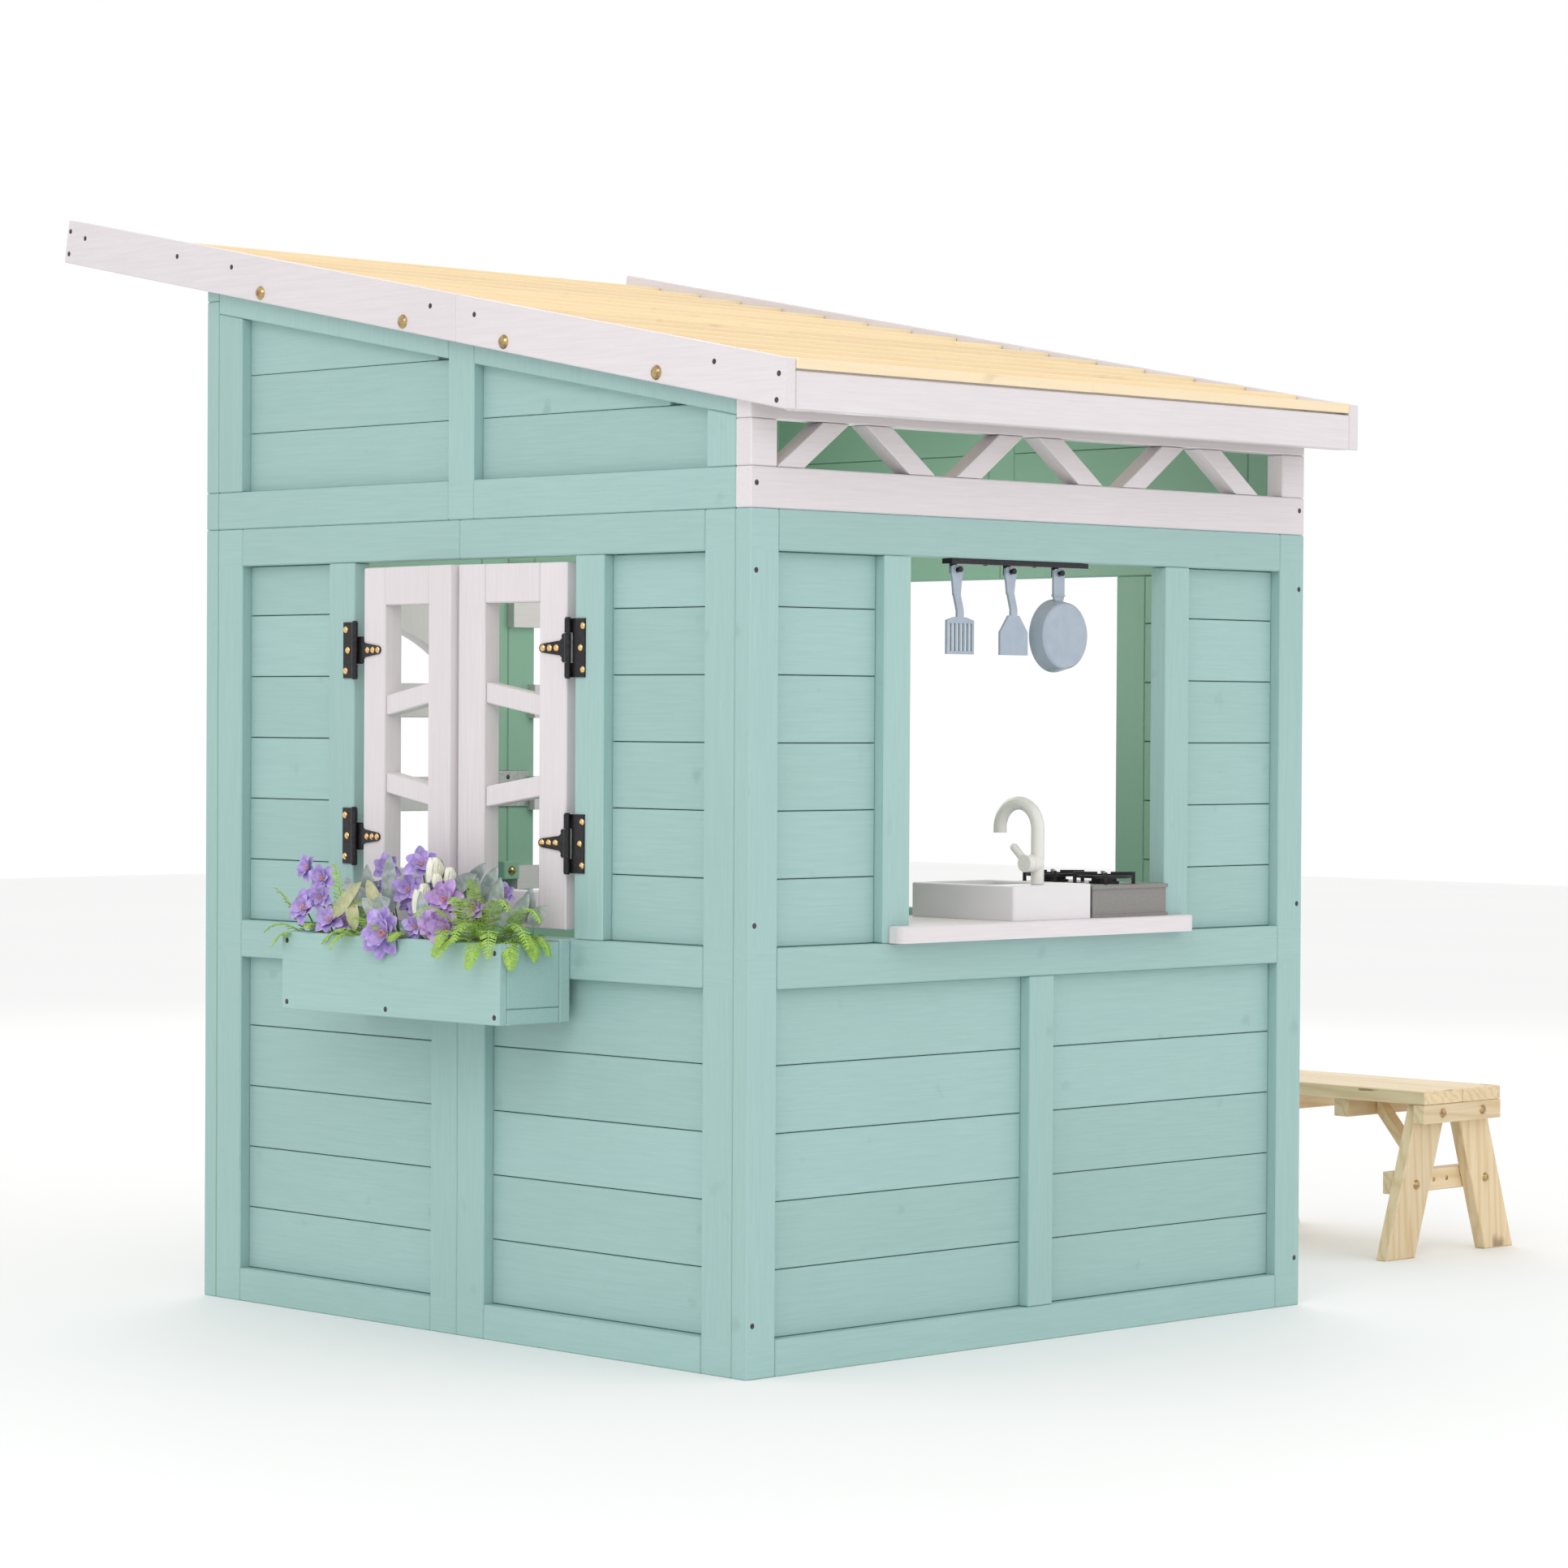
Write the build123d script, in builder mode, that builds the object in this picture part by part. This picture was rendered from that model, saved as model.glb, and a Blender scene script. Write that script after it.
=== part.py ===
from build123d import *
from math import asin, cos, radians, sin, tan
import os

# A child's painted wooden playhouse with a lean-to roof, a casement window with a flower
# box, a toy kitchen window under the low eave, a door on the high side and a trestle bench.
# Millimetres. Origin on the floor under the middle of the four walls, +Z up. The kitchen
# wall and low eave face +X, the door wall -X, the casement wall -Y and the bench wall +Y.

os.makedirs("parts", exist_ok=True)

# House
half_length = 554.0
half_width = 538.0
wall_height = 1080.0
stock = 28.0
member = 52.0
stile_width = 55.0
mid_rail_bottom = 482.0
mid_rail_top = mid_rail_bottom + member
top_rail_bottom = wall_height - member
bottom_rail_top = 46.0
plank_thickness = 12.0
plank_recess = stock - plank_thickness
plank_pitch = 85.0
gap = 0.4
arris = 1.5
plank_arris = 1.0
inner_x = half_length - stock
inner_y = half_width - stock

# Roof
roof_pitch = 10.13
roof_z = 1360.0
gable_rail_height = 70.5
fascia_pitch = 10.6
fascia_z = 1314.8
fascia_height = 62.6
fascia_thickness = 20.0
roof_low_x = 635.0
roof_high_x = -872.0
roof_rows = 16
board_thick_edge = 13.5
board_thin_edge = 6.0
rafter_height = 40.0
gable_bottom = wall_height + member

# Windows and door
casement_low_x = -222.0
casement_high_x = 229.0
kitchen_low_y = -252.0
kitchen_high_y = 244.0
leaf_bottom = 545.0
leaf_top = 1020.0
hinge_axis_y = -half_width - 5.0
left_hinge_x = -214.0
right_hinge_x = 221.0
left_angle = 5.3
right_angle = 3.0
hinge_levels = (657.0, 909.0)
door_low_y = -half_width + member
door_high_y = -member
door_bottom = 26.0
door_top = 1022.0
door_gap = 4.0
arch_crown = 955.0

# Kitchen
sill_bottom = mid_rail_top
sill_top = 556.0
sink_front_x = 562.0
sink_low_y = -64.0
sink_high_y = 88.0
hob_high_y = 244.0
appliance_depth = 188.0
peg_z = 1014.0
pin_clearance = 0.05

# Bench
bench_high_x = 349.0
bench_length = 490.0
bench_y = 1185.0
bench_half_width = 95.5
bench_top = 256.0
bench_stock = 21.0


def roof_under(x):
    """Height of the roof boards' underside at x."""
    return roof_z - tan(radians(roof_pitch)) * x


def fascia_bottom(x):
    """Height of the side fascias' lower edge at x."""
    return fascia_z - tan(radians(fascia_pitch)) * x


def write(piece, label):
    """Label a finished piece and write its STEP file."""
    piece.part.label = label
    export_step(piece.part, f"parts/{label}.step")


def block(x0, x1, y0, y1, z0, z1):
    """Add one board between two corners."""
    with Locations(((x0 + x1) / 2, (y0 + y1) / 2, (z0 + z1) / 2)):
        Box(abs(x1 - x0), abs(y1 - y0), abs(z1 - z0))


def prism(plane, points, depth, mode=Mode.ADD):
    """Extrude a closed outline along its plane's normal."""
    with BuildSketch(plane) as outline:
        with BuildLine():
            Polyline(*points, close=True)
        make_face()
    extrude(outline.sketch, amount=depth, mode=mode)


def side_prism(points, y0, y1, frame=Plane.XY):
    """Extrude an outline of (x, z) points from y0 to a greater y1, in a frame."""
    prism(placed(frame, Plane.XZ.offset(-y0)), points, y0 - y1)


def end_prism(points, x0, x1):
    """Extrude an outline of (y, z) points from x0 to a greater x1."""
    prism(Plane.YZ.offset(x0), points, x1 - x0)


def wall_board(wall, s0, s1, z0, z1, outer=0.0, inner=stock):
    """Add a board of one wall: s runs along the wall, outer and inner are depths from its face."""
    s0, s1, z0, z1 = s0 + gap / 2, s1 - gap / 2, z0 + gap / 2, z1 - gap / 2
    if z0 < gap:
        z0 = 0.0
    if wall == "casement":
        block(s0, s1, -half_width + outer, -half_width + inner, z0, z1)
    elif wall == "bench":
        block(s0, s1, half_width - inner, half_width - outer, z0, z1)
    elif wall == "kitchen":
        block(half_length - inner, half_length - outer, s0, s1, z0, z1)
    else:
        block(-half_length + outer, -half_length + inner, s0, s1, z0, z1)


def planks(wall, s0, s1, z0, z1):
    """Fill a bay with horizontal planks, the top one taking what is left."""
    count = max(1, round((z1 - z0) / plank_pitch - 0.2))
    for row in range(count):
        low = z0 + row * plank_pitch
        high = z1 if row == count - 1 else low + plank_pitch
        wall_board(wall, s0, s1, low + gap, high - gap, plank_recess)


def domed(plane, radius, height, shank_radius, shank_length):
    """Screw or bolt with a domed head that stands on the plane and a shank behind it."""
    ball = (radius**2 + height**2) / (2 * height)
    half_angle = asin(radius / ball) / 2
    section = Plane(origin=plane.origin, x_dir=plane.x_dir, z_dir=-plane.y_dir)
    with BuildSketch(section) as half:
        with BuildLine():
            ThreePointArc(
                (radius, 0),
                (ball * sin(half_angle), height - ball + ball * cos(half_angle)),
                (0, height),
            )
            Polyline(
                (0, height),
                (0, -shank_length),
                (shank_radius, -shank_length),
                (shank_radius, 0),
                (radius, 0),
            )
        make_face()
    revolve(half.sketch, axis=Axis(plane.origin, plane.z_dir))


def placed(frame, plane):
    """A plane given in a frame's own coordinates."""
    return Plane(frame.location * plane.location)


def facing(normal, x, y, z):
    """Plane at a point with the given horizontal normal."""
    return Plane(origin=(x, y, z), x_dir=(0, 0, 1), z_dir=normal)


def ring(plane, outer, inner, height):
    """Add a tube that stands on the plane."""
    with BuildSketch(plane) as section:
        Circle(outer)
        Circle(inner, mode=Mode.SUBTRACT)
    extrude(section.sketch, amount=height)


def rod(plane, radius, height, mode=Mode.ADD):
    """Add a round bar that stands on the plane."""
    with BuildSketch(plane) as section:
        Circle(radius)
    extrude(section.sketch, amount=height, mode=mode)


# ------------------------------------------------ casement wall and bench wall, two panels each
seam = -1.5
end_stiles = ((-inner_x, -inner_x + stile_width), (inner_x - stile_width, inner_x))
centre_stiles = ((seam - stile_width, seam), (seam, seam + stile_width))
window_stiles = (
    (casement_low_x - stile_width, casement_low_x),
    (casement_high_x, casement_high_x + stile_width),
)
low_end, high_end = end_stiles[0][1], end_stiles[1][0]


def two_panel_frame(wall):
    """Stiles and rails of two panels that share a window."""
    for s0, s1 in end_stiles:
        wall_board(wall, s0, s1, 0.0, wall_height)
    for s0, s1 in centre_stiles:
        wall_board(wall, s0, s1, 0.0, mid_rail_bottom)
    for s0, s1 in window_stiles:
        wall_board(wall, s0, s1, mid_rail_top, top_rail_bottom)
    for s0, s1 in ((low_end, seam), (seam, high_end)):
        wall_board(wall, s0, s1, mid_rail_bottom, mid_rail_top)
        wall_board(wall, s0, s1, top_rail_bottom, wall_height)
    wall_board(wall, low_end, centre_stiles[0][0], 0.0, bottom_rail_top)
    wall_board(wall, centre_stiles[1][1], high_end, 0.0, bottom_rail_top)


def two_panel_planks(wall):
    """Planks of the four closed bays."""
    planks(wall, low_end, centre_stiles[0][0], bottom_rail_top, mid_rail_bottom)
    planks(wall, centre_stiles[1][1], high_end, bottom_rail_top, mid_rail_bottom)
    planks(wall, low_end, window_stiles[0][0], mid_rail_top, top_rail_bottom)
    planks(wall, window_stiles[1][1], high_end, mid_rail_top, top_rail_bottom)


gable_post = 26.0
gable_rail_low = roof_z - gable_rail_height


def gable_rail_under(x):
    """Height of the sloping gable rail's lower edge at x."""
    return roof_under(x) - gable_rail_height


def gable_frame(y0):
    """Bottom rails, posts and sloping top rails of a gable."""
    y1 = y0 + stock
    for side in (-1, 1):
        edge = side * (gable_post + gap / 2)
        end = side * inner_x
        post = side * (inner_x - member)
        left, right = sorted((edge, end))
        block(left, right, y0, y1, wall_height + gap / 2, gable_bottom - gap / 2)
        slope = [(x, gable_rail_under(x)) for x in (left, right)]
        side_prism(slope + [(x, roof_under(x) - gap) for x in (right, left)], y0, y1)
        left, right = sorted((post, end))
        foot = [(x, gable_bottom + gap / 2) for x in (left, right)]
        side_prism(foot + [(x, gable_rail_under(x) - gap) for x in (right, left)], y0, y1)
    foot = [(x, wall_height + gap / 2) for x in (-gable_post, gable_post)]
    side_prism(foot + [(x, roof_under(x) - gap) for x in (gable_post, -gable_post)], y0, y1)


def gable_planks(y0):
    """Planks of a gable, the top ones cut to the slope."""
    y1 = y0 + plank_thickness
    pitch = 81.5
    for left, right in (
        (-inner_x + member + gap, -gable_post - gap),
        (gable_post + gap, inner_x - member - gap),
    ):
        rows = int((gable_rail_under(left) - gable_bottom) / pitch) + 1
        for row in range(rows):
            low = gable_bottom + row * pitch + gap
            high = gable_bottom + (row + 1) * pitch - gap
            reach = min(right, (gable_rail_low - low - 6.0) / tan(radians(roof_pitch)))
            cut = (gable_rail_low - high - gap) / tan(radians(roof_pitch))
            if cut >= right:
                block(left, right, y0, y1, low, high)
                continue
            points = [(left, low), (reach, low), (reach, gable_rail_under(reach) - gap)]
            if cut > left + plank_thickness:
                points += [(cut, high), (left, high)]
            else:
                points += [(left, gable_rail_under(left) - gap)]
            side_prism(points, y0, y1)


with BuildPart() as casement_wall_frame:
    two_panel_frame("casement")
    chamfer(casement_wall_frame.edges(), arris)
write(casement_wall_frame, "casement_wall_frame")

with BuildPart() as casement_wall_planks:
    two_panel_planks("casement")
    chamfer(casement_wall_planks.edges(), plank_arris)
write(casement_wall_planks, "casement_wall_planks")

with BuildPart() as casement_gable_frame:
    gable_frame(-half_width)
    chamfer(casement_gable_frame.edges(), arris)
write(casement_gable_frame, "casement_gable_frame")

with BuildPart() as casement_gable_planks:
    gable_planks(-half_width + plank_recess)
    chamfer(casement_gable_planks.edges(), plank_arris)
write(casement_gable_planks, "casement_gable_planks")

with BuildPart() as bench_wall_frame:
    two_panel_frame("bench")
    chamfer(bench_wall_frame.edges(), arris)
write(bench_wall_frame, "bench_wall_frame")

with BuildPart() as bench_wall_planks:
    two_panel_planks("bench")
    chamfer(bench_wall_planks.edges(), plank_arris)
write(bench_wall_planks, "bench_wall_planks")

with BuildPart() as bench_gable_frame:
    gable_frame(inner_y)
    chamfer(bench_gable_frame.edges(), arris)
write(bench_gable_frame, "bench_gable_frame")

with BuildPart() as bench_gable_planks:
    gable_planks(inner_y)
    chamfer(bench_gable_planks.edges(), plank_arris)
write(bench_gable_planks, "bench_gable_planks")

# ------------------------------------------------ kitchen wall and the lattice over it
kitchen_ends = ((-half_width, -half_width + 50.0), (half_width - member, half_width))
kitchen_stile = 49.0
kitchen_centre = 24.0

with BuildPart() as kitchen_wall_frame:
    for s0, s1 in kitchen_ends:
        wall_board("kitchen", s0, s1, 0.0, wall_height)
    s0, s1 = kitchen_ends[0][1], kitchen_ends[1][0]
    wall_board("kitchen", s0, s1, 0.0, bottom_rail_top)
    wall_board("kitchen", s0, s1, mid_rail_bottom, mid_rail_top)
    wall_board("kitchen", s0, s1, top_rail_bottom, wall_height)
    wall_board("kitchen", kitchen_low_y - kitchen_stile, kitchen_low_y, mid_rail_top, top_rail_bottom)
    wall_board("kitchen", kitchen_high_y, kitchen_high_y + kitchen_stile, mid_rail_top, top_rail_bottom)
    wall_board("kitchen", -kitchen_centre, kitchen_centre, bottom_rail_top, mid_rail_bottom)
    chamfer(kitchen_wall_frame.edges(), arris)
write(kitchen_wall_frame, "kitchen_wall_frame")

with BuildPart() as kitchen_wall_planks:
    planks("kitchen", kitchen_ends[0][1], -kitchen_centre, bottom_rail_top, mid_rail_bottom)
    planks("kitchen", kitchen_centre, kitchen_ends[1][0], bottom_rail_top, mid_rail_bottom)
    planks("kitchen", kitchen_ends[0][1], kitchen_low_y - kitchen_stile, mid_rail_top, top_rail_bottom)
    planks("kitchen", kitchen_high_y + kitchen_stile, kitchen_ends[1][0], mid_rail_top, top_rail_bottom)
    chamfer(kitchen_wall_planks.edges(), plank_arris)
write(kitchen_wall_planks, "kitchen_wall_planks")

lattice_head = 1191.0
lattice_top = roof_under(half_length) - gap
brace_half_width = 23.7
brace_head = 38.0
brace_foot = 118.0
lattice_peaks = (-350.5, -27.5, 295.5)

with BuildPart() as eave_lattice_frame:
    wall_board("kitchen", -half_width, half_width, wall_height, gable_bottom)
    wall_board("kitchen", -half_width, -half_width + 46.0, gable_bottom, lattice_head)
    wall_board("kitchen", half_width - 49.0, half_width, gable_bottom, lattice_head)
    wall_board("kitchen", -half_width, half_width, lattice_head, lattice_top)
    chamfer(eave_lattice_frame.edges(), arris)
write(eave_lattice_frame, "eave_lattice_frame")

with BuildPart() as eave_lattice_braces:
    for peak in lattice_peaks:
        for side in (-1, 1):
            foot, head = peak + side * brace_foot, peak + side * brace_head
            points = [
                (foot - brace_half_width, gable_bottom + gap),
                (foot + brace_half_width, gable_bottom + gap),
                (head + brace_half_width, lattice_head - gap),
                (head - brace_half_width, lattice_head - gap),
            ]
            end_prism(points, inner_x, half_length)
    chamfer(eave_lattice_braces.edges(), plank_arris)
write(eave_lattice_braces, "eave_lattice_braces")

# ------------------------------------------------ door wall and the high gable over it
light_low, light_high = member, half_width - member
gable_top = roof_under(-inner_x) - gap

with BuildPart() as door_wall_frame:
    posts = ((-half_width, door_low_y), (door_high_y, 0.0), (0.0, light_low), (light_high, half_width))
    for s0, s1 in posts:
        wall_board("door", s0, s1, 0.0, wall_height)
    wall_board("door", door_low_y, door_high_y, 0.0, door_bottom - 6.0)
    wall_board("door", door_low_y, door_high_y, top_rail_bottom, wall_height)
    wall_board("door", light_low, light_high, 0.0, bottom_rail_top)
    wall_board("door", light_low, light_high, mid_rail_bottom, mid_rail_top)
    wall_board("door", light_low, light_high, top_rail_bottom, wall_height)
    block(-inner_x + gap, -inner_x + 21.0, -24.0, 6.0, 578.0, 605.0)
    chamfer(door_wall_frame.edges(), arris)
write(door_wall_frame, "door_wall_frame")

with BuildPart() as door_wall_planks:
    planks("door", light_low, light_high, bottom_rail_top, mid_rail_bottom)
    chamfer(door_wall_planks.edges(), plank_arris)
write(door_wall_planks, "door_wall_planks")

with BuildPart() as high_gable_frame:
    wall_board("door", -half_width, half_width, wall_height, gable_bottom)
    wall_board("door", -half_width, half_width, gable_top - member, gable_top)
    for s0, s1 in ((-half_width, door_low_y), (-member / 2, member / 2), (light_high, half_width)):
        wall_board("door", s0, s1, gable_bottom, gable_top - member)
    chamfer(high_gable_frame.edges(), arris)
write(high_gable_frame, "high_gable_frame")

with BuildPart() as high_gable_planks:
    planks("door", door_low_y, -member / 2, gable_bottom, gable_top - member)
    planks("door", member / 2, light_high, gable_bottom, gable_top - member)
    chamfer(high_gable_planks.edges(), plank_arris)
write(high_gable_planks, "high_gable_planks")

# White boards screwed to the inside of the fixed light
light_board = 15.0
light_x = -inner_x + gap / 2
light_bars = ((7.0, 563.0, 598.0), (40.0, 681.0, 731.0), (40.0, 818.0, 868.0))
light_end_y = inner_y - 1.0

with BuildPart() as door_wall_light_boards:
    for y0, z0, z1 in light_bars:
        block(light_x, light_x + light_board, y0, light_end_y, z0, z1)
    with BuildSketch(Plane.YZ.offset(light_x)) as arched_header:
        with BuildLine():
            Polyline(
                (light_low, 953.0),
                (-2.0, 953.0),
                (-2.0, top_rail_bottom + 20.0),
                (light_end_y, top_rail_bottom + 20.0),
                (light_end_y, 953.0),
                (light_high, 953.0),
            )
            ThreePointArc((light_high, 953.0), ((light_low + light_high) / 2, 985.0), (light_low, 953.0))
        make_face()
    extrude(arched_header.sketch, amount=light_board)
write(door_wall_light_boards, "door_wall_light_boards")

with BuildPart() as panel_joining_plate:
    block(light_x, light_x + 4.0, -24.0, 38.0, 686.0, 740.0)
    chamfer(panel_joining_plate.edges(), plank_arris)
write(panel_joining_plate, "panel_joining_plate")

# ------------------------------------------------ roof
def sloping_member(y, x0, x1):
    """Rafter with plumb ends whose top follows the roof boards."""
    low = [(x, roof_under(x) - rafter_height) for x in (x0, x1)]
    side_prism(low + [(x, roof_under(x) - gap) for x in (x1, x0)], y - stock / 2, y + stock / 2)


with BuildPart() as roof_rafters:
    for rafter_y in (-269.0, -stock / 2 - gap, stock / 2 + gap, 269.0):
        sloping_member(rafter_y, -inner_x + gap, inner_x - gap)
        sloping_member(rafter_y, roof_high_x + fascia_thickness + gap, -half_length - gap)
    chamfer(roof_rafters.edges(), arris)
write(roof_rafters, "roof_rafters")

row_run = (roof_low_x - roof_high_x) / roof_rows
up_slope = (-cos(radians(roof_pitch)), 0.0, sin(radians(roof_pitch)))
row_length = row_run / cos(radians(roof_pitch))


def roof_half(y0, y1, offset):
    """One half of the roof: wedge-section boards, each thick lower edge over a thin upper one."""
    base = Plane(origin=(roof_low_x, y0, roof_under(roof_low_x)), x_dir=up_slope, z_dir=(0, 1, 0))
    for row in range(roof_rows):
        low = row * row_length + offset
        high = (row + 1) * row_length + offset - gap
        points = [(low, 0.0), (high, 0.0), (high, board_thin_edge), (low, board_thick_edge)]
        prism(base, points, y1 - y0)


with BuildPart() as near_roof_boards:
    roof_half(-half_width + gap, -gap, 0.0)
    chamfer(near_roof_boards.edges(), 0.8)
write(near_roof_boards, "near_roof_boards")

with BuildPart() as far_roof_boards:
    roof_half(gap, half_width - gap, 3.0)
    chamfer(far_roof_boards.edges(), 0.8)
write(far_roof_boards, "far_roof_boards")

fascia_joint_x = 11.0
fascia_low_x = 633.0


def side_fascia(y0, y1):
    """Two boards end to end along the roof's sloping edge."""
    for left, right in ((roof_high_x, fascia_joint_x - gap), (fascia_joint_x, fascia_low_x)):
        head = left + fascia_height * sin(radians(fascia_pitch)) if left == roof_high_x else left
        side_prism(
            [
                (left, fascia_bottom(left)),
                (right, fascia_bottom(right)),
                (right, fascia_bottom(right) + fascia_height),
                (head, fascia_bottom(head) + fascia_height),
            ],
            y0,
            y1,
        )


with BuildPart() as near_side_fascia:
    side_fascia(-half_width - fascia_thickness, -half_width)
    chamfer(near_side_fascia.edges(), arris)
write(near_side_fascia, "near_side_fascia")

with BuildPart() as far_side_fascia:
    side_fascia(half_width, half_width + fascia_thickness)
    chamfer(far_side_fascia.edges(), arris)
write(far_side_fascia, "far_side_fascia")

eave_y = half_width - gap
eave_fascia_bottom, eave_fascia_top = 1196.5, 1244.5
high_fascia_height = 38.0

with BuildPart() as low_eave_fascia:
    eave_back_x = fascia_low_x - fascia_thickness
    block(eave_back_x, fascia_low_x, -eave_y, eave_y, eave_fascia_bottom, eave_fascia_top)
    chamfer(low_eave_fascia.edges(), arris)
write(low_eave_fascia, "low_eave_fascia")

high_fascia_x = roof_high_x + fascia_thickness
with BuildPart() as high_eave_fascia:
    z1 = roof_under(high_fascia_x) - gap
    block(roof_high_x + 11.0, high_fascia_x, -eave_y, eave_y, z1 - high_fascia_height, z1)
    chamfer(high_eave_fascia.edges(), arris)
write(high_eave_fascia, "high_eave_fascia")

# ------------------------------------------------ flower box
box_low_x, box_high_x = -224.0, 223.0
box_front_y = -658.0
box_bottom, box_top = 427.0, 531.0
box_front_board, box_back_board, box_end_board, box_floor = 13.0, 18.0, 15.0, 20.0
box_inner_front = box_front_y + box_front_board + gap
box_inner_back = -half_width - box_back_board - gap

with BuildPart() as flower_box_front:
    block(box_low_x, box_high_x, box_front_y, box_front_y + box_front_board, box_bottom, box_top)
    chamfer(flower_box_front.edges(), arris)
write(flower_box_front, "flower_box_front")

with BuildPart() as flower_box_back:
    back_face = -half_width - gap / 2
    block(box_low_x, box_high_x, -half_width - box_back_board, back_face, box_bottom, box_top + 3)
    chamfer(flower_box_back.edges(), arris)
write(flower_box_back, "flower_box_back")

with BuildPart() as flower_box_ends:
    end_bottom = box_bottom + box_floor + gap
    for x0 in (box_low_x, box_high_x - box_end_board):
        block(x0, x0 + box_end_board, box_inner_front, box_inner_back, end_bottom, box_top)
    chamfer(flower_box_ends.edges(), arris)
write(flower_box_ends, "flower_box_ends")

with BuildPart() as flower_box_bottom:
    block(box_low_x, box_high_x, box_inner_front, box_inner_back, box_bottom, box_bottom + box_floor)
    chamfer(flower_box_bottom.edges(), arris)
write(flower_box_bottom, "flower_box_bottom")

with BuildPart() as flowers:
    inset = box_end_board + 2.0
    block(box_low_x + inset, box_high_x - inset, box_inner_front + 1.0, box_inner_back - 1.0,
          box_bottom + box_floor + 1.0, box_top + 8.0)
write(flowers, "flowers")

# ------------------------------------------------ T-hinges
knuckle_radius = 4.5
pin_radius = 2.0
pin_hole = pin_radius + pin_clearance
plate_half_height = 38.0
pin_head_radius, pin_head_height = 3.6, 1.4
plate_reach = 29.0
knuckle_half = 19.0
sheet = 2.0
axis_standoff = 5.0
strap_screw_places = (25.0, 37.5, 50.0)

# A hinge frame stands on the pin axis, with its y axis pointing into the wall. The leaf lies
# towards its +x on the left-hung leaf (side 1) and towards its -x on the others (side -1).
left_frame = Plane(
    origin=(left_hinge_x, hinge_axis_y, 0),
    x_dir=(cos(radians(left_angle)), -sin(radians(left_angle)), 0),
    z_dir=(0, 0, 1),
)
right_frame = Plane(
    origin=(right_hinge_x, hinge_axis_y, 0),
    x_dir=(cos(radians(right_angle)), sin(radians(right_angle)), 0),
    z_dir=(0, 0, 1),
)
door_frame = Plane(
    origin=(-half_length - axis_standoff, door_low_y + door_gap / 2, 0),
    x_dir=(0, -1, 0),
    z_dir=(0, 0, 1),
)
left_closed = Plane(origin=(left_hinge_x, hinge_axis_y, 0), x_dir=(1, 0, 0), z_dir=(0, 0, 1))
right_closed = Plane(origin=(right_hinge_x, hinge_axis_y, 0), x_dir=(1, 0, 0), z_dir=(0, 0, 1))
door_hinge_levels = (205.0, 885.0)
hinge_sets = (
    (left_closed, 1, hinge_levels),
    (right_closed, -1, hinge_levels),
    (door_frame, -1, door_hinge_levels),
)


def at_level(frame, level):
    """The frame moved up its pin axis."""
    return frame.offset(level)


def hinge_plate(frame, side, level):
    """Upright plate on the wall with the two outer knuckles of one hinge."""
    for low in (-plate_half_height, knuckle_half + gap):
        top = low + plate_half_height - knuckle_half - gap
        ring(at_level(frame, level + low), knuckle_radius, pin_hole, top - low)
        outline = [(0, low), (-side * plate_reach, low), (-side * plate_reach, top), (0, top)]
        side_prism([(x, z + level) for x, z in outline], axis_standoff - sheet, axis_standoff, frame)
    middle = knuckle_half + 1.0
    outline = [
        (-side * (knuckle_radius + 1.5), -middle),
        (-side * plate_reach, -middle),
        (-side * plate_reach, middle),
        (-side * (knuckle_radius + 1.5), middle),
    ]
    side_prism([(x, z + level) for x, z in outline], axis_standoff - sheet, axis_standoff, frame)


def hinge_strap(frame, side, level):
    """Tapering strap on the leaf with the middle knuckle of one hinge."""
    ring(at_level(frame, level - knuckle_half), knuckle_radius, pin_hole, 2 * knuckle_half)
    upper = [(0, 18.5), (13, 18.5), (15, 16), (14.5, 12.5), (18, 9.6), (51, 5.6), (55, 3.6), (56.5, 0)]
    lower = [(x, -z) for x, z in reversed(upper[:-1])]
    outline = [(side * x, z + level) for x, z in upper + lower]
    side_prism(outline, axis_standoff - sheet, axis_standoff, frame)


def face_screw(frame, x, level):
    """Brass screw standing on the outer side of a hinge's sheet metal."""
    seat = placed(frame, facing((0, -1, 0), x, axis_standoff - sheet, level))
    domed(seat, 4.6, 2.4, 1.6, 18.0)


with BuildPart() as hinge_plates:
    for frame, side, levels in hinge_sets:
        for level in levels:
            hinge_plate(frame, side, level)
write(hinge_plates, "hinge_plates")

with BuildPart() as hinge_pins:
    for frame, side, levels in hinge_sets:
        for level in levels:
            pin_half = plate_half_height + 0.2
            rod(at_level(frame, level - pin_half), pin_radius, 2 * pin_half)
            for turn in (1, -1):
                rod(at_level(frame, level + turn * pin_half), pin_head_radius, turn * pin_head_height)
write(hinge_pins, "hinge_pins")

with BuildPart() as hinge_plate_screws:
    for frame, side, levels in hinge_sets:
        for level in levels:
            for reach, height in ((-24.5, 28.0), (-20.0, 0.0), (-24.5, -28.0)):
                face_screw(frame, side * reach, level + height)
write(hinge_plate_screws, "hinge_plate_screws")

# ------------------------------------------------ casement leaves
leaf_thickness = 28.0
leaf_member = 51.0
leaf_faces = (axis_standoff + gap / 2, axis_standoff + leaf_thickness)
glazing_half = 13.5
glazing_bars = ((834.5, 851.5), (730.5, 715.0))
left_leaf_edges = (14.0, 218.0)
right_leaf_edges = (7.5, 211.5)


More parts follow.
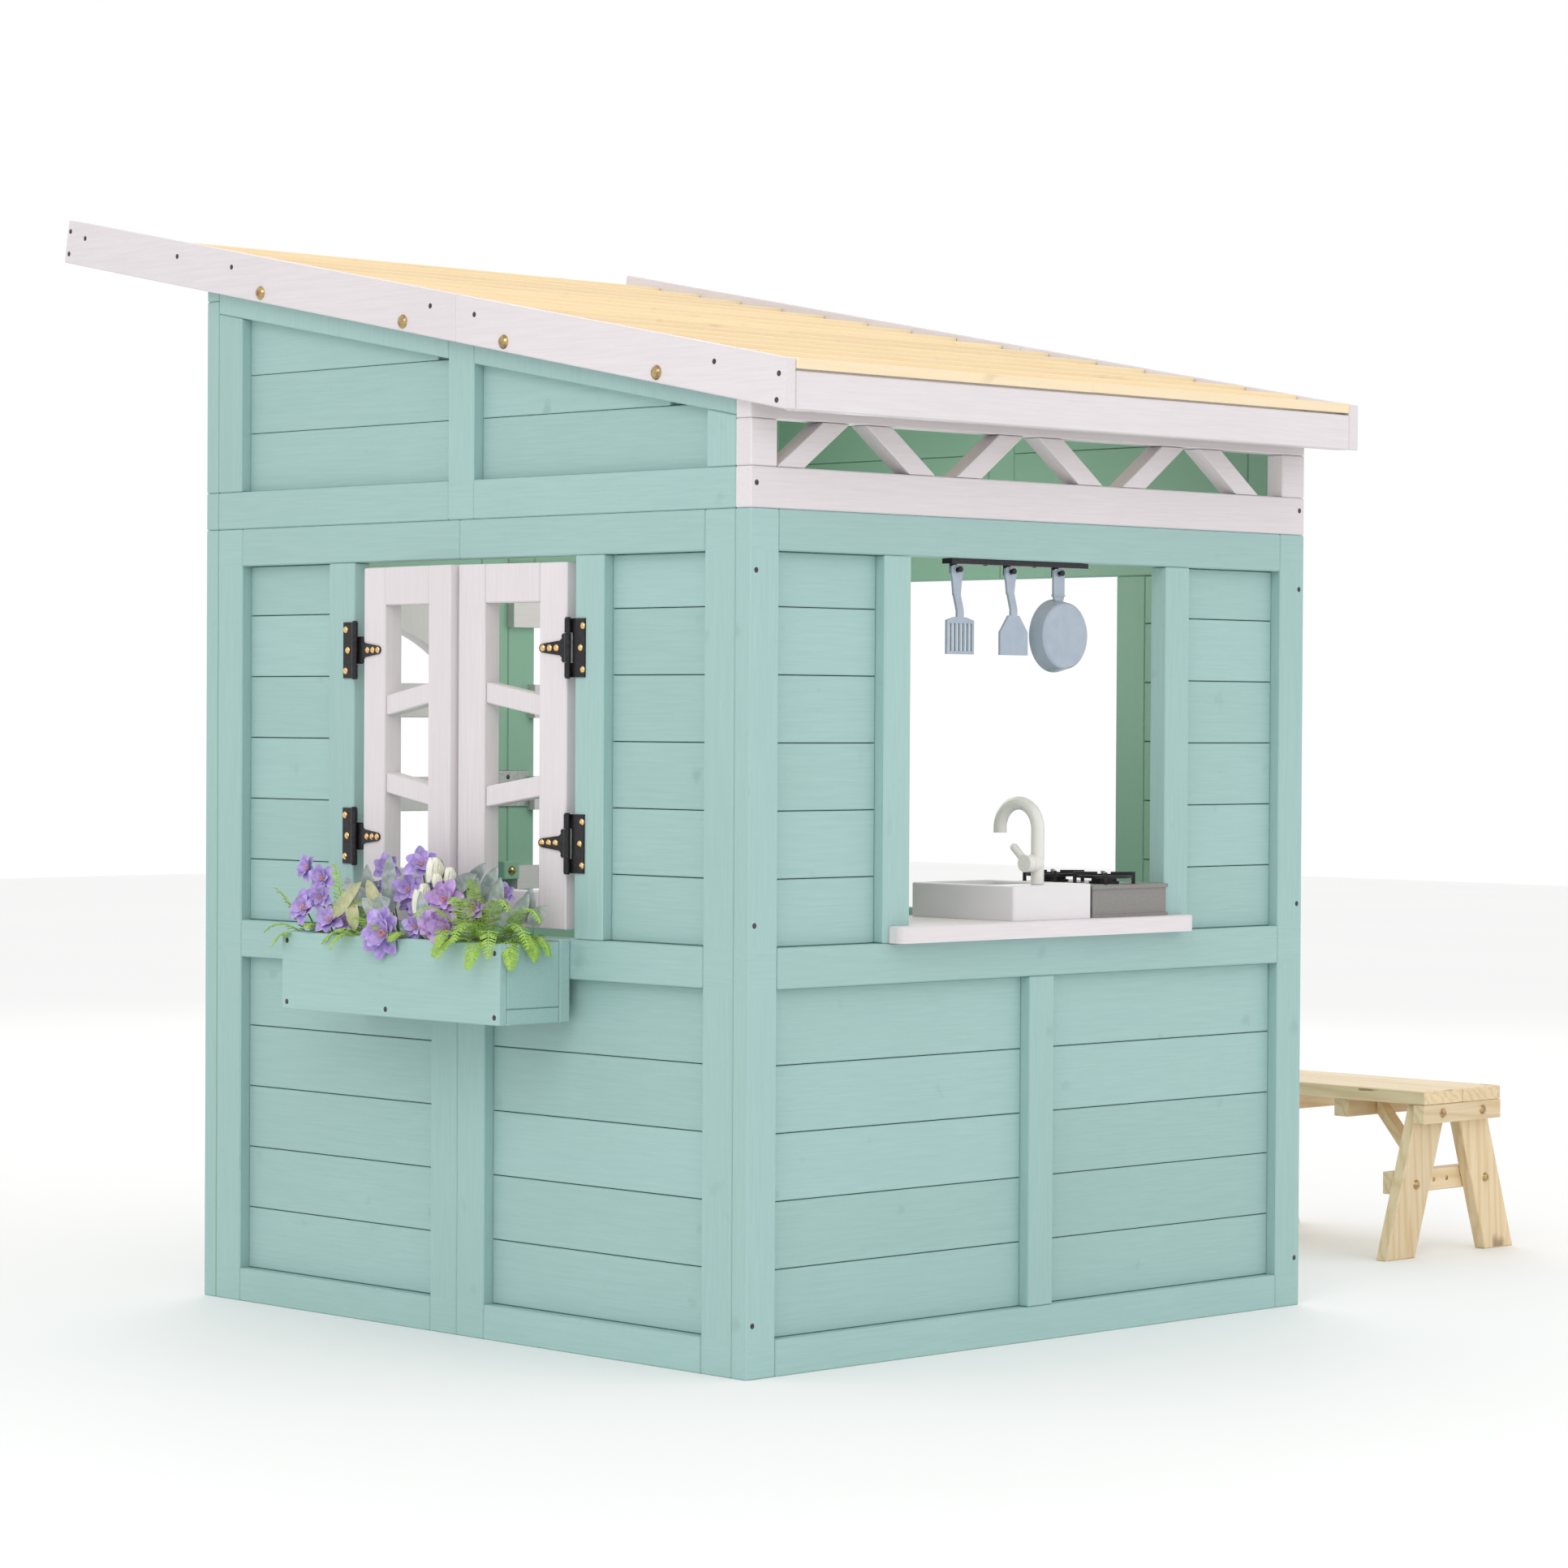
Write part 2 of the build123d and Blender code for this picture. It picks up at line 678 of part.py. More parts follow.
def leaf(frame, side, edges):
    """Stiles, rails and slanting glazing bars of one casement leaf."""
    y0, y1 = leaf_faces
    near, far = edges
    inside, outside = near + leaf_member, far - leaf_member
    for x0, x1 in ((near, inside - gap), (outside + gap, far)):
        block(side * x0, side * x1, y0, y1, leaf_bottom, leaf_top)
    for z0, z1 in ((leaf_bottom, leaf_bottom + leaf_member - 2), (leaf_top - leaf_member, leaf_top)):
        block(side * inside, side * outside, y0, y1, z0, z1)
    for hinge_side, free_side in glazing_bars:
        outline = [
            (side * inside, hinge_side - glazing_half),
            (side * outside, free_side - glazing_half),
            (side * outside, free_side + glazing_half),
            (side * inside, hinge_side + glazing_half),
        ]
        side_prism(outline, y0 + 3.0, y1 - 3.0, frame)


with BuildPart(left_frame) as left_leaf_frame:
    leaf(left_frame, 1, left_leaf_edges)
    chamfer(left_leaf_frame.edges(), arris)
write(left_leaf_frame, "left_leaf_frame")

with BuildPart(right_frame) as right_leaf_frame:
    leaf(right_frame, -1, right_leaf_edges)
    chamfer(right_leaf_frame.edges(), arris)
write(right_leaf_frame, "right_leaf_frame")

# ------------------------------------------------ door leaf
door_near, door_far = door_gap / 2, door_high_y - door_low_y - 1.5 * door_gap
door_member = 54.0
door_rails = ((door_bottom, 78.0), (546.0, 598.0))
door_bars = ((681.0, 731.0), (818.0, 868.0))
arch_spring = 893.0

with BuildPart(door_frame) as door_leaf_frame:
    y0, y1 = leaf_faces
    inside, outside = door_near + door_member, door_far - door_member
    for x0, x1 in ((door_near, inside - gap), (outside + gap, door_far)):
        block(-x0, -x1, y0, y1, door_bottom, door_top)
    for z0, z1 in door_rails:
        block(-inside, -outside, y0, y1, z0, z1)
    for z0, z1 in door_bars:
        block(-inside, -outside, y0 + 3.0, y1 - 3.0, z0, z1)
    chamfer(door_leaf_frame.edges(), arris)
    with BuildSketch(placed(door_frame, Plane.XZ.offset(-y0))) as arch:
        with BuildLine():
            Polyline(
                (-inside, arch_spring),
                (-inside, door_top),
                (-outside, door_top),
                (-outside, arch_spring),
            )
            ThreePointArc(
                (-outside, arch_spring),
                (-(inside + outside) / 2, arch_crown),
                (-inside, arch_spring),
            )
        make_face()
    extrude(arch.sketch, amount=y0 - y1)
write(door_leaf_frame, "door_leaf_frame")

with BuildPart(door_frame) as door_leaf_planks:
    count = 5
    pitch = (door_rails[1][0] - door_rails[0][1]) / count
    plank_face = leaf_faces[0] + plank_recess
    for row in range(count):
        low = door_rails[0][1] + row * pitch
        block(-inside - gap, -outside + gap, plank_face, leaf_faces[1], low + gap, low + pitch - gap)
    chamfer(door_leaf_planks.edges(), plank_arris)
write(door_leaf_planks, "door_leaf_planks")


def straps(frame, side, levels):
    """The straps of one leaf."""
    for level in levels:
        hinge_strap(frame, side, level)


def strap_screws(frame, side, levels):
    """The screws of one leaf's straps."""
    for level in levels:
        for place in strap_screw_places:
            face_screw(frame, side * place, level)


with BuildPart() as left_leaf_straps:
    straps(left_frame, 1, hinge_levels)
write(left_leaf_straps, "left_leaf_straps")

with BuildPart() as left_leaf_screws:
    strap_screws(left_frame, 1, hinge_levels)
write(left_leaf_screws, "left_leaf_screws")

with BuildPart() as right_leaf_straps:
    straps(right_frame, -1, hinge_levels)
write(right_leaf_straps, "right_leaf_straps")

with BuildPart() as right_leaf_screws:
    strap_screws(right_frame, -1, hinge_levels)
write(right_leaf_screws, "right_leaf_screws")

with BuildPart() as door_straps:
    straps(door_frame, -1, door_hinge_levels)
write(door_straps, "door_straps")

with BuildPart() as door_strap_screws:
    strap_screws(door_frame, -1, door_hinge_levels)
write(door_strap_screws, "door_strap_screws")

# ------------------------------------------------ kitchen counter, sink, tap and hob
counter_inner_x = 352.0
counter_nose_x = 578.0
counter_ear = 38.0
nose_x = half_length + gap

with BuildPart() as serving_counter:
    with BuildSketch(Plane.XY.offset(sill_bottom)) as top_view:
        with Locations(((counter_inner_x + counter_nose_x) / 2, (kitchen_low_y + kitchen_high_y) / 2)):
            Rectangle(counter_nose_x - counter_inner_x, kitchen_high_y - kitchen_low_y - 1.0)
        with Locations(((nose_x + counter_nose_x) / 2, (kitchen_low_y + kitchen_high_y) / 2)):
            Rectangle(counter_nose_x - nose_x, kitchen_high_y - kitchen_low_y + 2 * counter_ear)
        fillet(top_view.vertices().group_by(Axis.X)[-1], 12.0)
    extrude(top_view.sketch, amount=sill_top - sill_bottom)
    fillet(serving_counter.faces().sort_by(Axis.Z)[-1].edges(), 3.0)
write(serving_counter, "serving_counter")

bracket_tip_x, bracket_tip_z, bracket_foot_z = 380.0, 514.0, 400.0
bracket_thickness = 18.0

with BuildPart() as counter_brackets:
    outline = [
        (bracket_tip_x, bracket_tip_z),
        (inner_x - gap, bracket_foot_z),
        (inner_x - gap, sill_bottom - gap),
        (bracket_tip_x, sill_bottom - gap),
    ]
    for y0 in (-170.0, 150.0):
        side_prism(outline, y0, y0 + bracket_thickness)
    chamfer(counter_brackets.edges(), plank_arris)
write(counter_brackets, "counter_brackets")

sink_back_x = sink_front_x - appliance_depth
sink_top = 602.0
tap_x, tap_y = 534.0, 11.0

with BuildPart() as sink_basin:
    block(sink_back_x, sink_front_x, sink_low_y, sink_high_y, sill_top + gap / 2, sink_top)
    fillet(sink_basin.edges().filter_by(Axis.Z), 5.0)
    with BuildSketch(Plane.XY.offset(sink_top)) as basin:
        with Locations(((sink_back_x + tap_x - 6) / 2 - 4, (sink_low_y + sink_high_y) / 2)):
            RectangleRounded(128.0, sink_high_y - sink_low_y - 20.0, 14.0)
    extrude(basin.sketch, amount=-36.0, mode=Mode.SUBTRACT)
    fillet(sink_basin.faces().filter_by(Axis.Z).sort_by(Axis.Z)[-1].edges(), 2.5)
write(sink_basin, "sink_basin")

spout_radius = 8.75
neck_radius = 34.0
neck_height = 709.0 - neck_radius
lever_z = 630.0

with BuildPart() as faucet_body:
    with BuildLine() as neck:
        Line((tap_x, tap_y, sink_top + gap), (tap_x, tap_y, neck_height))
        ThreePointArc(
            (tap_x, tap_y, neck_height),
            (tap_x - neck_radius, tap_y, neck_height + neck_radius),
            (tap_x - 2 * neck_radius, tap_y, neck_height),
        )
        mouth_x = tap_x - 2 * neck_radius
        Line((mouth_x, tap_y, neck_height), (mouth_x, tap_y, neck_height - 6))
    with BuildSketch(Plane.XY.offset(sink_top + gap)) as tube:
        with Locations((tap_x, tap_y)):
            Circle(spout_radius)
    sweep(tube.sketch, path=neck.line)
    rod(facing((0, -1, 0), tap_x, tap_y, lever_z), 11.5, 15.0)
    rod(facing((0, -1, 0), tap_x, tap_y - 5.0, lever_z), 4.0 + pin_clearance, 12.0, mode=Mode.SUBTRACT)
write(faucet_body, "faucet_body")

lever_angle = 42.0
lever_dir = (-cos(radians(lever_angle)), 0, sin(radians(lever_angle)))
lever_y = tap_y - 15.3

with BuildPart() as faucet_lever:
    rod(facing((0, -1, 0), tap_x, lever_y, lever_z), 11.5, 11.0)
    rod(facing((0, 1, 0), tap_x, lever_y - 1.0, lever_z), 4.0, 8.0)
    grip = Plane(origin=(tap_x, lever_y - 5.5, lever_z), x_dir=(0, 1, 0), z_dir=lever_dir)
    rod(grip, 5.2, 32.0)
    with BuildSketch(grip.offset(32.0)) as tip:
        Circle(5.2)
    extrude(tip.sketch, amount=3.0, taper=30)
write(faucet_lever, "faucet_lever")

hob_top = 599.0
hob_low_y = sink_high_y + 1.5
hob_end_y = hob_high_y - 1.5

with BuildPart() as hob_body:
    inset = 2.0
    waist_y0, waist_y1 = hob_low_y + inset, hob_end_y - inset
    block(sink_back_x + inset, sink_front_x - inset, waist_y0, waist_y1, sill_top + 1, hob_top - 1)
    block(sink_back_x, sink_front_x, hob_low_y, hob_end_y, sill_top + gap / 2, sill_top + 4)
    block(sink_back_x, sink_front_x, hob_low_y, hob_end_y, hob_top - 5, hob_top)
write(hob_body, "hob_body")

burner_places = ((422.0, 166.0), (514.0, 166.0))
grate_radius = 34.0
grate_top = 615.0

with BuildPart() as hob_grates:
    for x, y in burner_places:
        rod(Plane(origin=(x, y, hob_top + gap / 2)), 17.0, 7.0)
        ring(Plane(origin=(x, y, hob_top + gap / 2)), 20.5, 18.5, 3.0)
        for quarter in range(4):
            turn = Plane(origin=(x, y, 0)).rotated((0, 0, 45 + 90 * quarter))
            side_prism(
                [
                    (grate_radius + 3, hob_top + gap / 2),
                    (grate_radius + 8, hob_top + gap / 2),
                    (grate_radius + 8, grate_top),
                    (9.0, grate_top),
                    (9.0, grate_top - 4.5),
                    (grate_radius + 3, grate_top - 4.5),
                ],
                -2.2,
                2.2,
                turn,
            )
        ring(Plane(origin=(x, y, grate_top - 8)), grate_radius + 5, grate_radius, 4.0)
write(hob_grates, "hob_grates")

# ------------------------------------------------ hook rail and hanging utensils
rail_low_y, rail_high_y = -174.0, 89.0
rail_bottom = 1021.0
peg_places = (-156.0, -54.0, 40.0)
peg_radius = 2.2
hang_hole = 3.5
hang_drop = hang_hole - peg_radius - 0.3
handle_x0, handle_x1 = 540.0, 543.5
handle_top = 1019.6
rail_screws = (-102.0, -8.0)

with BuildPart() as hook_rail:
    block(533.0, 551.0, rail_low_y, rail_high_y, rail_bottom, top_rail_bottom - gap)
    for y in peg_places:
        block(533.5, 537.5, y - 5.0, y + 5.0, peg_z - 5.0, rail_bottom + 1.0)
        rod(facing((1, 0, 0), 537.0, y, peg_z), peg_radius, 12.0)
        rod(facing((1, 0, 0), 547.5, y, peg_z), peg_radius + 1.6, 2.5)
write(hook_rail, "hook_rail")


def hole_for_peg(y):
    """Cut the hanging hole through a handle."""
    rod(facing((1, 0, 0), handle_x0 - 2.0, y, peg_z - hang_drop), hang_hole, 10.0, mode=Mode.SUBTRACT)


def turner(y, blade, blade_bottom, blade_top, shoulder):
    """Handle and blade of a hanging turner; the blade stands a little further out."""
    blade_x = handle_x0 + 6.0
    thickness = handle_x1 - handle_x0
    bend_top, bend_bottom = blade_top + 30.0, blade_top + 8.0
    handle = [
        (y - 6.3, bend_top - 2.0),
        (y + 6.3, bend_top - 2.0),
        (y + 8.5, 1000.0),
        (y + 10.5, 1008.0),
        (y + 10.5, 1018.0),
        (y + 7.0, handle_top),
        (y - 7.0, handle_top),
        (y - 10.5, 1018.0),
        (y - 10.5, 1008.0),
        (y - 8.5, 1000.0),
    ]
    end_prism(handle, handle_x0, handle_x1)
    bend = [
        (handle_x0, bend_top),
        (blade_x, bend_bottom),
        (blade_x, blade_top - 4.0),
        (blade_x + thickness, blade_top - 4.0),
        (blade_x + thickness, bend_bottom + 1.0),
        (handle_x1, bend_top + 1.0),
    ]
    side_prism(bend, y - 6.0, y + 6.0)
    outline = [
        (y - blade, blade_bottom),
        (y + blade, blade_bottom),
        (y + blade, blade_top - shoulder),
        (y + 10.0, blade_top),
        (y - 10.0, blade_top),
        (y - blade, blade_top - shoulder),
    ]
    end_prism(outline, blade_x, blade_x + thickness)


with BuildPart() as slotted_turner:
    turner(peg_places[0], 25.5, 904.0, 952.0, 4.0)
    hole_for_peg(peg_places[0])
    for index in range(6):
        slot_y = peg_places[0] + (index - 2.5) * 7.8
        with Locations((546.0 + 1.75, slot_y, 926.0)):
            Box(8.0, 4.6, 36.0, mode=Mode.SUBTRACT)
write(slotted_turner, "slotted_turner")

with BuildPart() as plain_turner:
    turner(peg_places[1], 26.5, 904.0, 956.0, 22.0)
    hole_for_peg(peg_places[1])
write(plain_turner, "plain_turner")

pan_z = 931.0
pan_bottom_x = 556.0
pan_rim_x = 534.0
pan_bottom_radius = 44.0
pan_rim_radius = 48.5
pan_wall = 2.2

with BuildPart() as frying_pan:
    y = peg_places[2]
    half_section = Plane(origin=(0, y, pan_z), x_dir=(1, 0, 0), z_dir=(0, -1, 0))
    with BuildSketch(half_section) as pan:
        with BuildLine():
            Polyline(
                (pan_bottom_x, 0),
                (pan_bottom_x, pan_bottom_radius - 2.0),
                (pan_bottom_x - 2.0, pan_bottom_radius),
                (pan_rim_x, pan_rim_radius),
                (pan_rim_x, pan_rim_radius - pan_wall),
                (pan_bottom_x - pan_wall, pan_bottom_radius - pan_wall - 1.0),
                (pan_bottom_x - pan_wall, 0),
                close=True,
            )
        make_face()
    revolve(pan.sketch, axis=Axis((0, y, pan_z), (1, 0, 0)))
    handle_foot = pan_z + pan_rim_radius - 2.2
    handle = [
        (y - 8.0, handle_foot),
        (y + 8.0, handle_foot),
        (y + 10.5, handle_foot + 8.0),
        (y + 10.5, 1018.0),
        (y + 7.0, handle_top),
        (y - 7.0, handle_top),
        (y - 10.5, 1018.0),
        (y - 10.5, handle_foot + 8.0),
    ]
    end_prism(handle, handle_x0, handle_x1)
    block(handle_x0 - 1.0, handle_x1 + 1.0, y - 11.0, y + 11.0, handle_foot + 6.0, handle_foot + 8.0)
    hole_for_peg(y)
write(frying_pan, "frying_pan")

# ------------------------------------------------ bench outside the bench wall
bench_low_x = bench_high_x - bench_length
seat_under = bench_top - bench_stock
cleat_bottom = 206.0
leg_foot, leg_head = 160.0, 92.0
leg_width = 72.0
bar_bottom, bar_top = 97.0, 131.0
leg_lean = (leg_foot - leg_head) / cleat_bottom


def leg_edge(z):
    """Distance of a leg's outer edge from the bench's middle at height z."""
    return leg_foot - leg_lean * z


bench_ends = ((bench_high_x, -1), (bench_low_x, 1))

with BuildPart() as bench_seat:
    for side in (-1, 1):
        edge, middle = side * bench_half_width, side * 0.6
        block(bench_low_x, bench_high_x, bench_y + middle, bench_y + edge, seat_under, bench_top)
    fillet(bench_seat.edges(), 2.0)
write(bench_seat, "bench_seat")

with BuildPart() as bench_legs:
    for end_x, inward in bench_ends:
        x0, x1 = sorted((end_x + inward * (bench_stock + gap), end_x + inward * 2 * bench_stock))
        for side in (-1, 1):
            top = seat_under - gap
            outline = [
                (bench_y + side * leg_foot, 0.0),
                (bench_y + side * leg_edge(top), top),
                (bench_y + side * (leg_edge(top) - leg_width), top),
                (bench_y + side * (leg_foot - leg_width), 0.0),
            ]
            end_prism(outline, x0, x1)
    chamfer(bench_legs.edges(), arris)
write(bench_legs, "bench_legs")

with BuildPart() as bench_rails:
    for end_x, inward in bench_ends:
        rail_x = end_x + inward * bench_stock
        block(end_x, rail_x, bench_y - 96.5, bench_y + 96.5, cleat_bottom, seat_under - gap)
        bar_x = end_x + inward * (2 * bench_stock + gap)
        far_x = end_x + inward * (3 * bench_stock)
        bar_reach = leg_edge(bar_top)
        block(bar_x, far_x, bench_y - bar_reach, bench_y + bar_reach, bar_bottom, bar_top)
        cleat_x = end_x + inward * 160.0
        cleat_far_x = cleat_x + inward * 28.0
        block(cleat_x, cleat_far_x, bench_y - 80.0, bench_y + 80.0, cleat_bottom, seat_under - gap)
        brace = [
            (far_x + inward * gap, bar_bottom + 2.0),
            (far_x + inward * gap, bar_top - 6.0),
            (cleat_x - inward * gap, seat_under - 2 * gap),
            (cleat_x - inward * gap, seat_under - 26.0),
        ]
        side_prism(brace, bench_y - 10.5, bench_y + 10.5)
    chamfer(bench_rails.edges(), plank_arris)
write(bench_rails, "bench_rails")

with BuildPart() as bench_fasteners:
    for end_x, inward in bench_ends:
        normal = (-inward, 0, 0)
        for side in (-1, 1):
            leg_x = end_x + inward * (bench_stock + gap)
            for head_x, reach, z in ((end_x, 50.0, 221.0), (leg_x, 87.0, 112.0)):
                head = facing(normal, head_x, bench_y + side * reach, z)
                domed(head, 7.5, 5.0, 3.0, 2 * bench_stock - 1)
            bar_x = end_x + inward * (2 * bench_stock + gap)
            domed(facing(normal, bar_x, bench_y + side * 16.0, 114.0), 3.8, 0.8, 1.8, 16.0)
write(bench_fasteners, "bench_fasteners")

# ------------------------------------------------ fascia bolts and dark screws
bolt_places = (-406.0, -97.0, 109.0, 402.5)
fascia_screw_places = (-820.0, -598.0, -472.0, -40.0, 50.0, 508.0)
fascia_end_screws = ((-856.0, 47.0), (-860.0, 14.0), (623.0, 42.0), (619.0, 9.0))
corner_screws = ((-528.0, 1111.0), (-528.0, 1003.0), (-528.0, 563.0), (-528.0, 67.0),
                 (527.0, 1114.0), (527.0, 1004.0), (527.0, 564.0), (527.0, 67.0))
box_screws = ((-213.0, 437.0), (-5.0, 437.0), (213.0, 437.0), (-213.0, 519.0), (213.0, 519.0))

with BuildPart() as brass_bolts:
    for side in (-1, 1):
        face = side * (half_width + fascia_thickness)
        for x in bolt_places:
            domed(facing((0, side, 0), x, face, fascia_bottom(x) + 13.0), 9.5, 6.0, 4.0, 38.0)
    domed(facing((1, 0, 0), -inner_x + 21.0, -9.0, 591.0), 7.0, 5.0, 3.0, 30.0)
write(brass_bolts, "brass_bolts")

with BuildPart() as dark_screws:
    for side in (-1, 1):
        face = side * (half_width + fascia_thickness)
        for x in fascia_screw_places:
            domed(facing((0, side, 0), x, face, fascia_bottom(x) + 41.0), 3.6, 0.8, 1.8, 17.0)
        for x, rise in fascia_end_screws:
            domed(facing((0, side, 0), x, face, fascia_bottom(x) + rise), 3.6, 0.8, 1.8, 17.0)
    for y, z in corner_screws:
        domed(facing((1, 0, 0), half_length, y, z), 3.6, 0.8, 1.8, 24.0)
        domed(facing((-1, 0, 0), -half_length, y, z), 3.6, 0.8, 1.8, 24.0)
    for x, z in box_screws:
        domed(facing((0, -1, 0), x, box_front_y, z), 3.6, 0.8, 1.8, 11.0)
    domed(facing((1, 0, 0), light_x + 4.0, -3.0, 730.0), 3.6, 0.8, 1.8, 20.0)
    for y in rail_screws:
        under_rail = Plane(origin=(542.0, y, rail_bottom), x_dir=(1, 0, 0), z_dir=(0, 0, -1))
        domed(under_rail, 3.6, 1.2, 1.8, 22.0)
write(dark_screws, "dark_screws")
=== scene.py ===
import math
import random

import bpy
from mathutils import Matrix, Vector


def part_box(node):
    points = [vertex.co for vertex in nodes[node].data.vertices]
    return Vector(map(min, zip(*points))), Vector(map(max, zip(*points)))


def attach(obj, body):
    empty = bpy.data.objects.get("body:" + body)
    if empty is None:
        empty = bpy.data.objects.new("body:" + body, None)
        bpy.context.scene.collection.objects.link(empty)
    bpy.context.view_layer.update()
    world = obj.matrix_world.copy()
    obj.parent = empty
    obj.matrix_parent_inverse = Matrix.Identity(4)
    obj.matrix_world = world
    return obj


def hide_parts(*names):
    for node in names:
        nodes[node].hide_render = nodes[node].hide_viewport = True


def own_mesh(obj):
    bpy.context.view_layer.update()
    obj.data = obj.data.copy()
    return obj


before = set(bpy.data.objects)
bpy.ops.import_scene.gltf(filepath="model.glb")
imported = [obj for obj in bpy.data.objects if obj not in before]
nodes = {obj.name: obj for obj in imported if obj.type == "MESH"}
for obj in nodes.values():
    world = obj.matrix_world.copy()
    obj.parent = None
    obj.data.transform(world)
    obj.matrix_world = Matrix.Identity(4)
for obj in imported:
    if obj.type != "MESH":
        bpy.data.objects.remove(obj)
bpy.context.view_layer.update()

# A painted wooden playhouse: materials for its boards and metalwork, the artificial flowers
# in its box, studio light and camera. Metres, in the imported model's own frame.

chance = random.Random(7)

# ---------------------------------------------------------------- camera, light and floor
# The camera's place and its three axes.
camera_place = Vector((4.526, -4.355, 0.821))
camera_right = Vector((0.69841, 0.71568, 0.00545))
camera_up = Vector((-0.01448, 0.00652, 0.99987))
camera_forward = Vector((-0.71555, 0.69840, -0.01492))

camera_data = bpy.data.cameras.new("camera")
camera_data.lens = 102.48
camera_data.sensor_width = 36.0
camera = bpy.data.objects.new("camera", camera_data)
turn = Matrix((camera_right, camera_up, -camera_forward)).transposed()
camera.matrix_world = Matrix.Translation(camera_place) @ turn.to_4x4()
bpy.context.scene.collection.objects.link(camera)
bpy.context.scene.camera = camera


def area_light(name, place, target, size, power, colour):
    """Soft square lamp aimed at a point."""
    data = bpy.data.lights.new(name, "AREA")
    data.size = size
    data.energy = power
    data.color = colour
    lamp = bpy.data.objects.new(name, data)
    aim = Vector(target) - Vector(place)
    lamp.matrix_world = Matrix.Translation(place) @ aim.to_track_quat("-Z", "Y").to_matrix().to_4x4()
    bpy.context.scene.collection.objects.link(lamp)


area_light("key", (2.6, -4.2, 3.6), (0, 0, 0.7), 3.0, 52, (1.0, 0.985, 0.96))
area_light("fill", (4.6, 1.2, 2.0), (0, 0, 0.7), 3.0, 14, (0.96, 0.98, 1.0))
area_light("back", (-3.6, 3.6, 3.2), (0, 0, 0.8), 3.0, 30, (1.0, 0.98, 0.95))

cabin_data = bpy.data.lights.new("cabin", "POINT")
cabin_data.energy = 5.0
cabin_data.shadow_soft_size = 0.25
cabin_lamp = bpy.data.objects.new("cabin", cabin_data)
cabin_lamp.location = (-0.05, 0.05, 1.0)
cabin_lamp.visible_camera = False
bpy.context.scene.collection.objects.link(cabin_lamp)

world = bpy.data.worlds.new("studio")
world.use_nodes = True
world.node_tree.nodes["Background"].inputs["Color"].default_value = (1.0, 1.0, 1.0, 1)
world.node_tree.nodes["Background"].inputs["Strength"].default_value = 1.0
bpy.context.scene.world = world
bpy.context.scene.view_settings.view_transform = "Standard"


# ---------------------------------------------------------------- material building blocks
class Shader:
    """A material with a Principled shader and short ways to add and join nodes."""

    def __init__(self, name, **constants):
        self.material = bpy.data.materials.new(name)
        self.material.use_nodes = True
        self.tree = self.material.node_tree
        self.surface = self.tree.nodes["Principled BSDF"]
        for socket, value in constants.items():
            self.surface.inputs[socket.replace("_", " ")].default_value = value

    def add(self, kind, **settings):
        node = self.tree.nodes.new(kind)
        for key, value in settings.items():
            setattr(node, key, value)
        return node

    def join(self, output, socket):
        self.tree.links.new(output, socket)

    def position(self):
        return self.add("ShaderNodeTexCoord").outputs["Object"]

    def math(self, operation, first, second=0.0):
        node = self.add("ShaderNodeMath", operation=operation)
        for index, value in enumerate((first, second)):
            if isinstance(value, (int, float)):
                node.inputs[index].default_value = value
            else:
                self.join(value, node.inputs[index])
        return node.outputs[0]

    def mix(self, factor, first, second, blend="MIX"):
        node = self.add("ShaderNodeMix", data_type="RGBA", blend_type=blend)
        for index, value in ((0, factor), (6, first), (7, second)):
            if isinstance(value, (int, float)):
                node.inputs[index].default_value = value
            elif isinstance(value, tuple):
                node.inputs[index].default_value = (*value, 1)
            else:
                self.join(value, node.inputs[index])
        return node.outputs[2]

    def noise(self, vector, scale, detail=4.0, roughness=0.55):
        node = self.add("ShaderNodeTexNoise")
        node.inputs["Scale"].default_value = scale
        node.inputs["Detail"].default_value = detail
        node.inputs["Roughness"].default_value = roughness
        self.join(vector, node.inputs["Vector"])
        return node.outputs["Fac"]

    def spread(self, value, low, high, start=0.0, end=1.0):
        node = self.add("ShaderNodeMapRange")
        self.join(value, node.inputs[0])
        for index, number in enumerate((low, high, start, end)):
            node.inputs[index + 1].default_value = number
        return node.outputs[0]

    def stretched(self, vector, scales):
        node = self.add("ShaderNodeMapping")
        node.inputs["Scale"].default_value = scales
        self.join(vector, node.inputs["Vector"])
        return node.outputs["Vector"]

    def island_vector(self, vector, amount):
        """Shift the texture by a different step on each separate board."""
        step = self.math("MULTIPLY", self.board_chance(), amount)
        node = self.add("ShaderNodeVectorMath", operation="ADD")
        self.join(vector, node.inputs[0])
        self.join(step, node.inputs[1])
        return node.outputs[0]

    def board_chance(self):
        return self.add("ShaderNodeNewGeometry").outputs["Random Per Island"]

    def bump(self, height, strength, distance):
        node = self.add("ShaderNodeBump")
        node.inputs["Strength"].default_value = strength
        node.inputs["Distance"].default_value = distance
        self.join(height, node.inputs["Height"])
        self.join(node.outputs["Normal"], self.surface.inputs["Normal"])

    def colour(self, output):
        self.join(output, self.surface.inputs["Base Color"])

    def roughness(self, output):
        self.join(output, self.surface.inputs["Roughness"])


# Texture scales that draw grain out along one axis, and the heights of the horizontal rails.
ALONG = {"x": (1.4, 38.0, 38.0), "y": (38.0, 1.4, 38.0), "z": (38.0, 38.0, 1.4)}
RAIL_BANDS = ((-0.01, 0.0465), (0.482, 0.5345), (1.028, 1.1325))


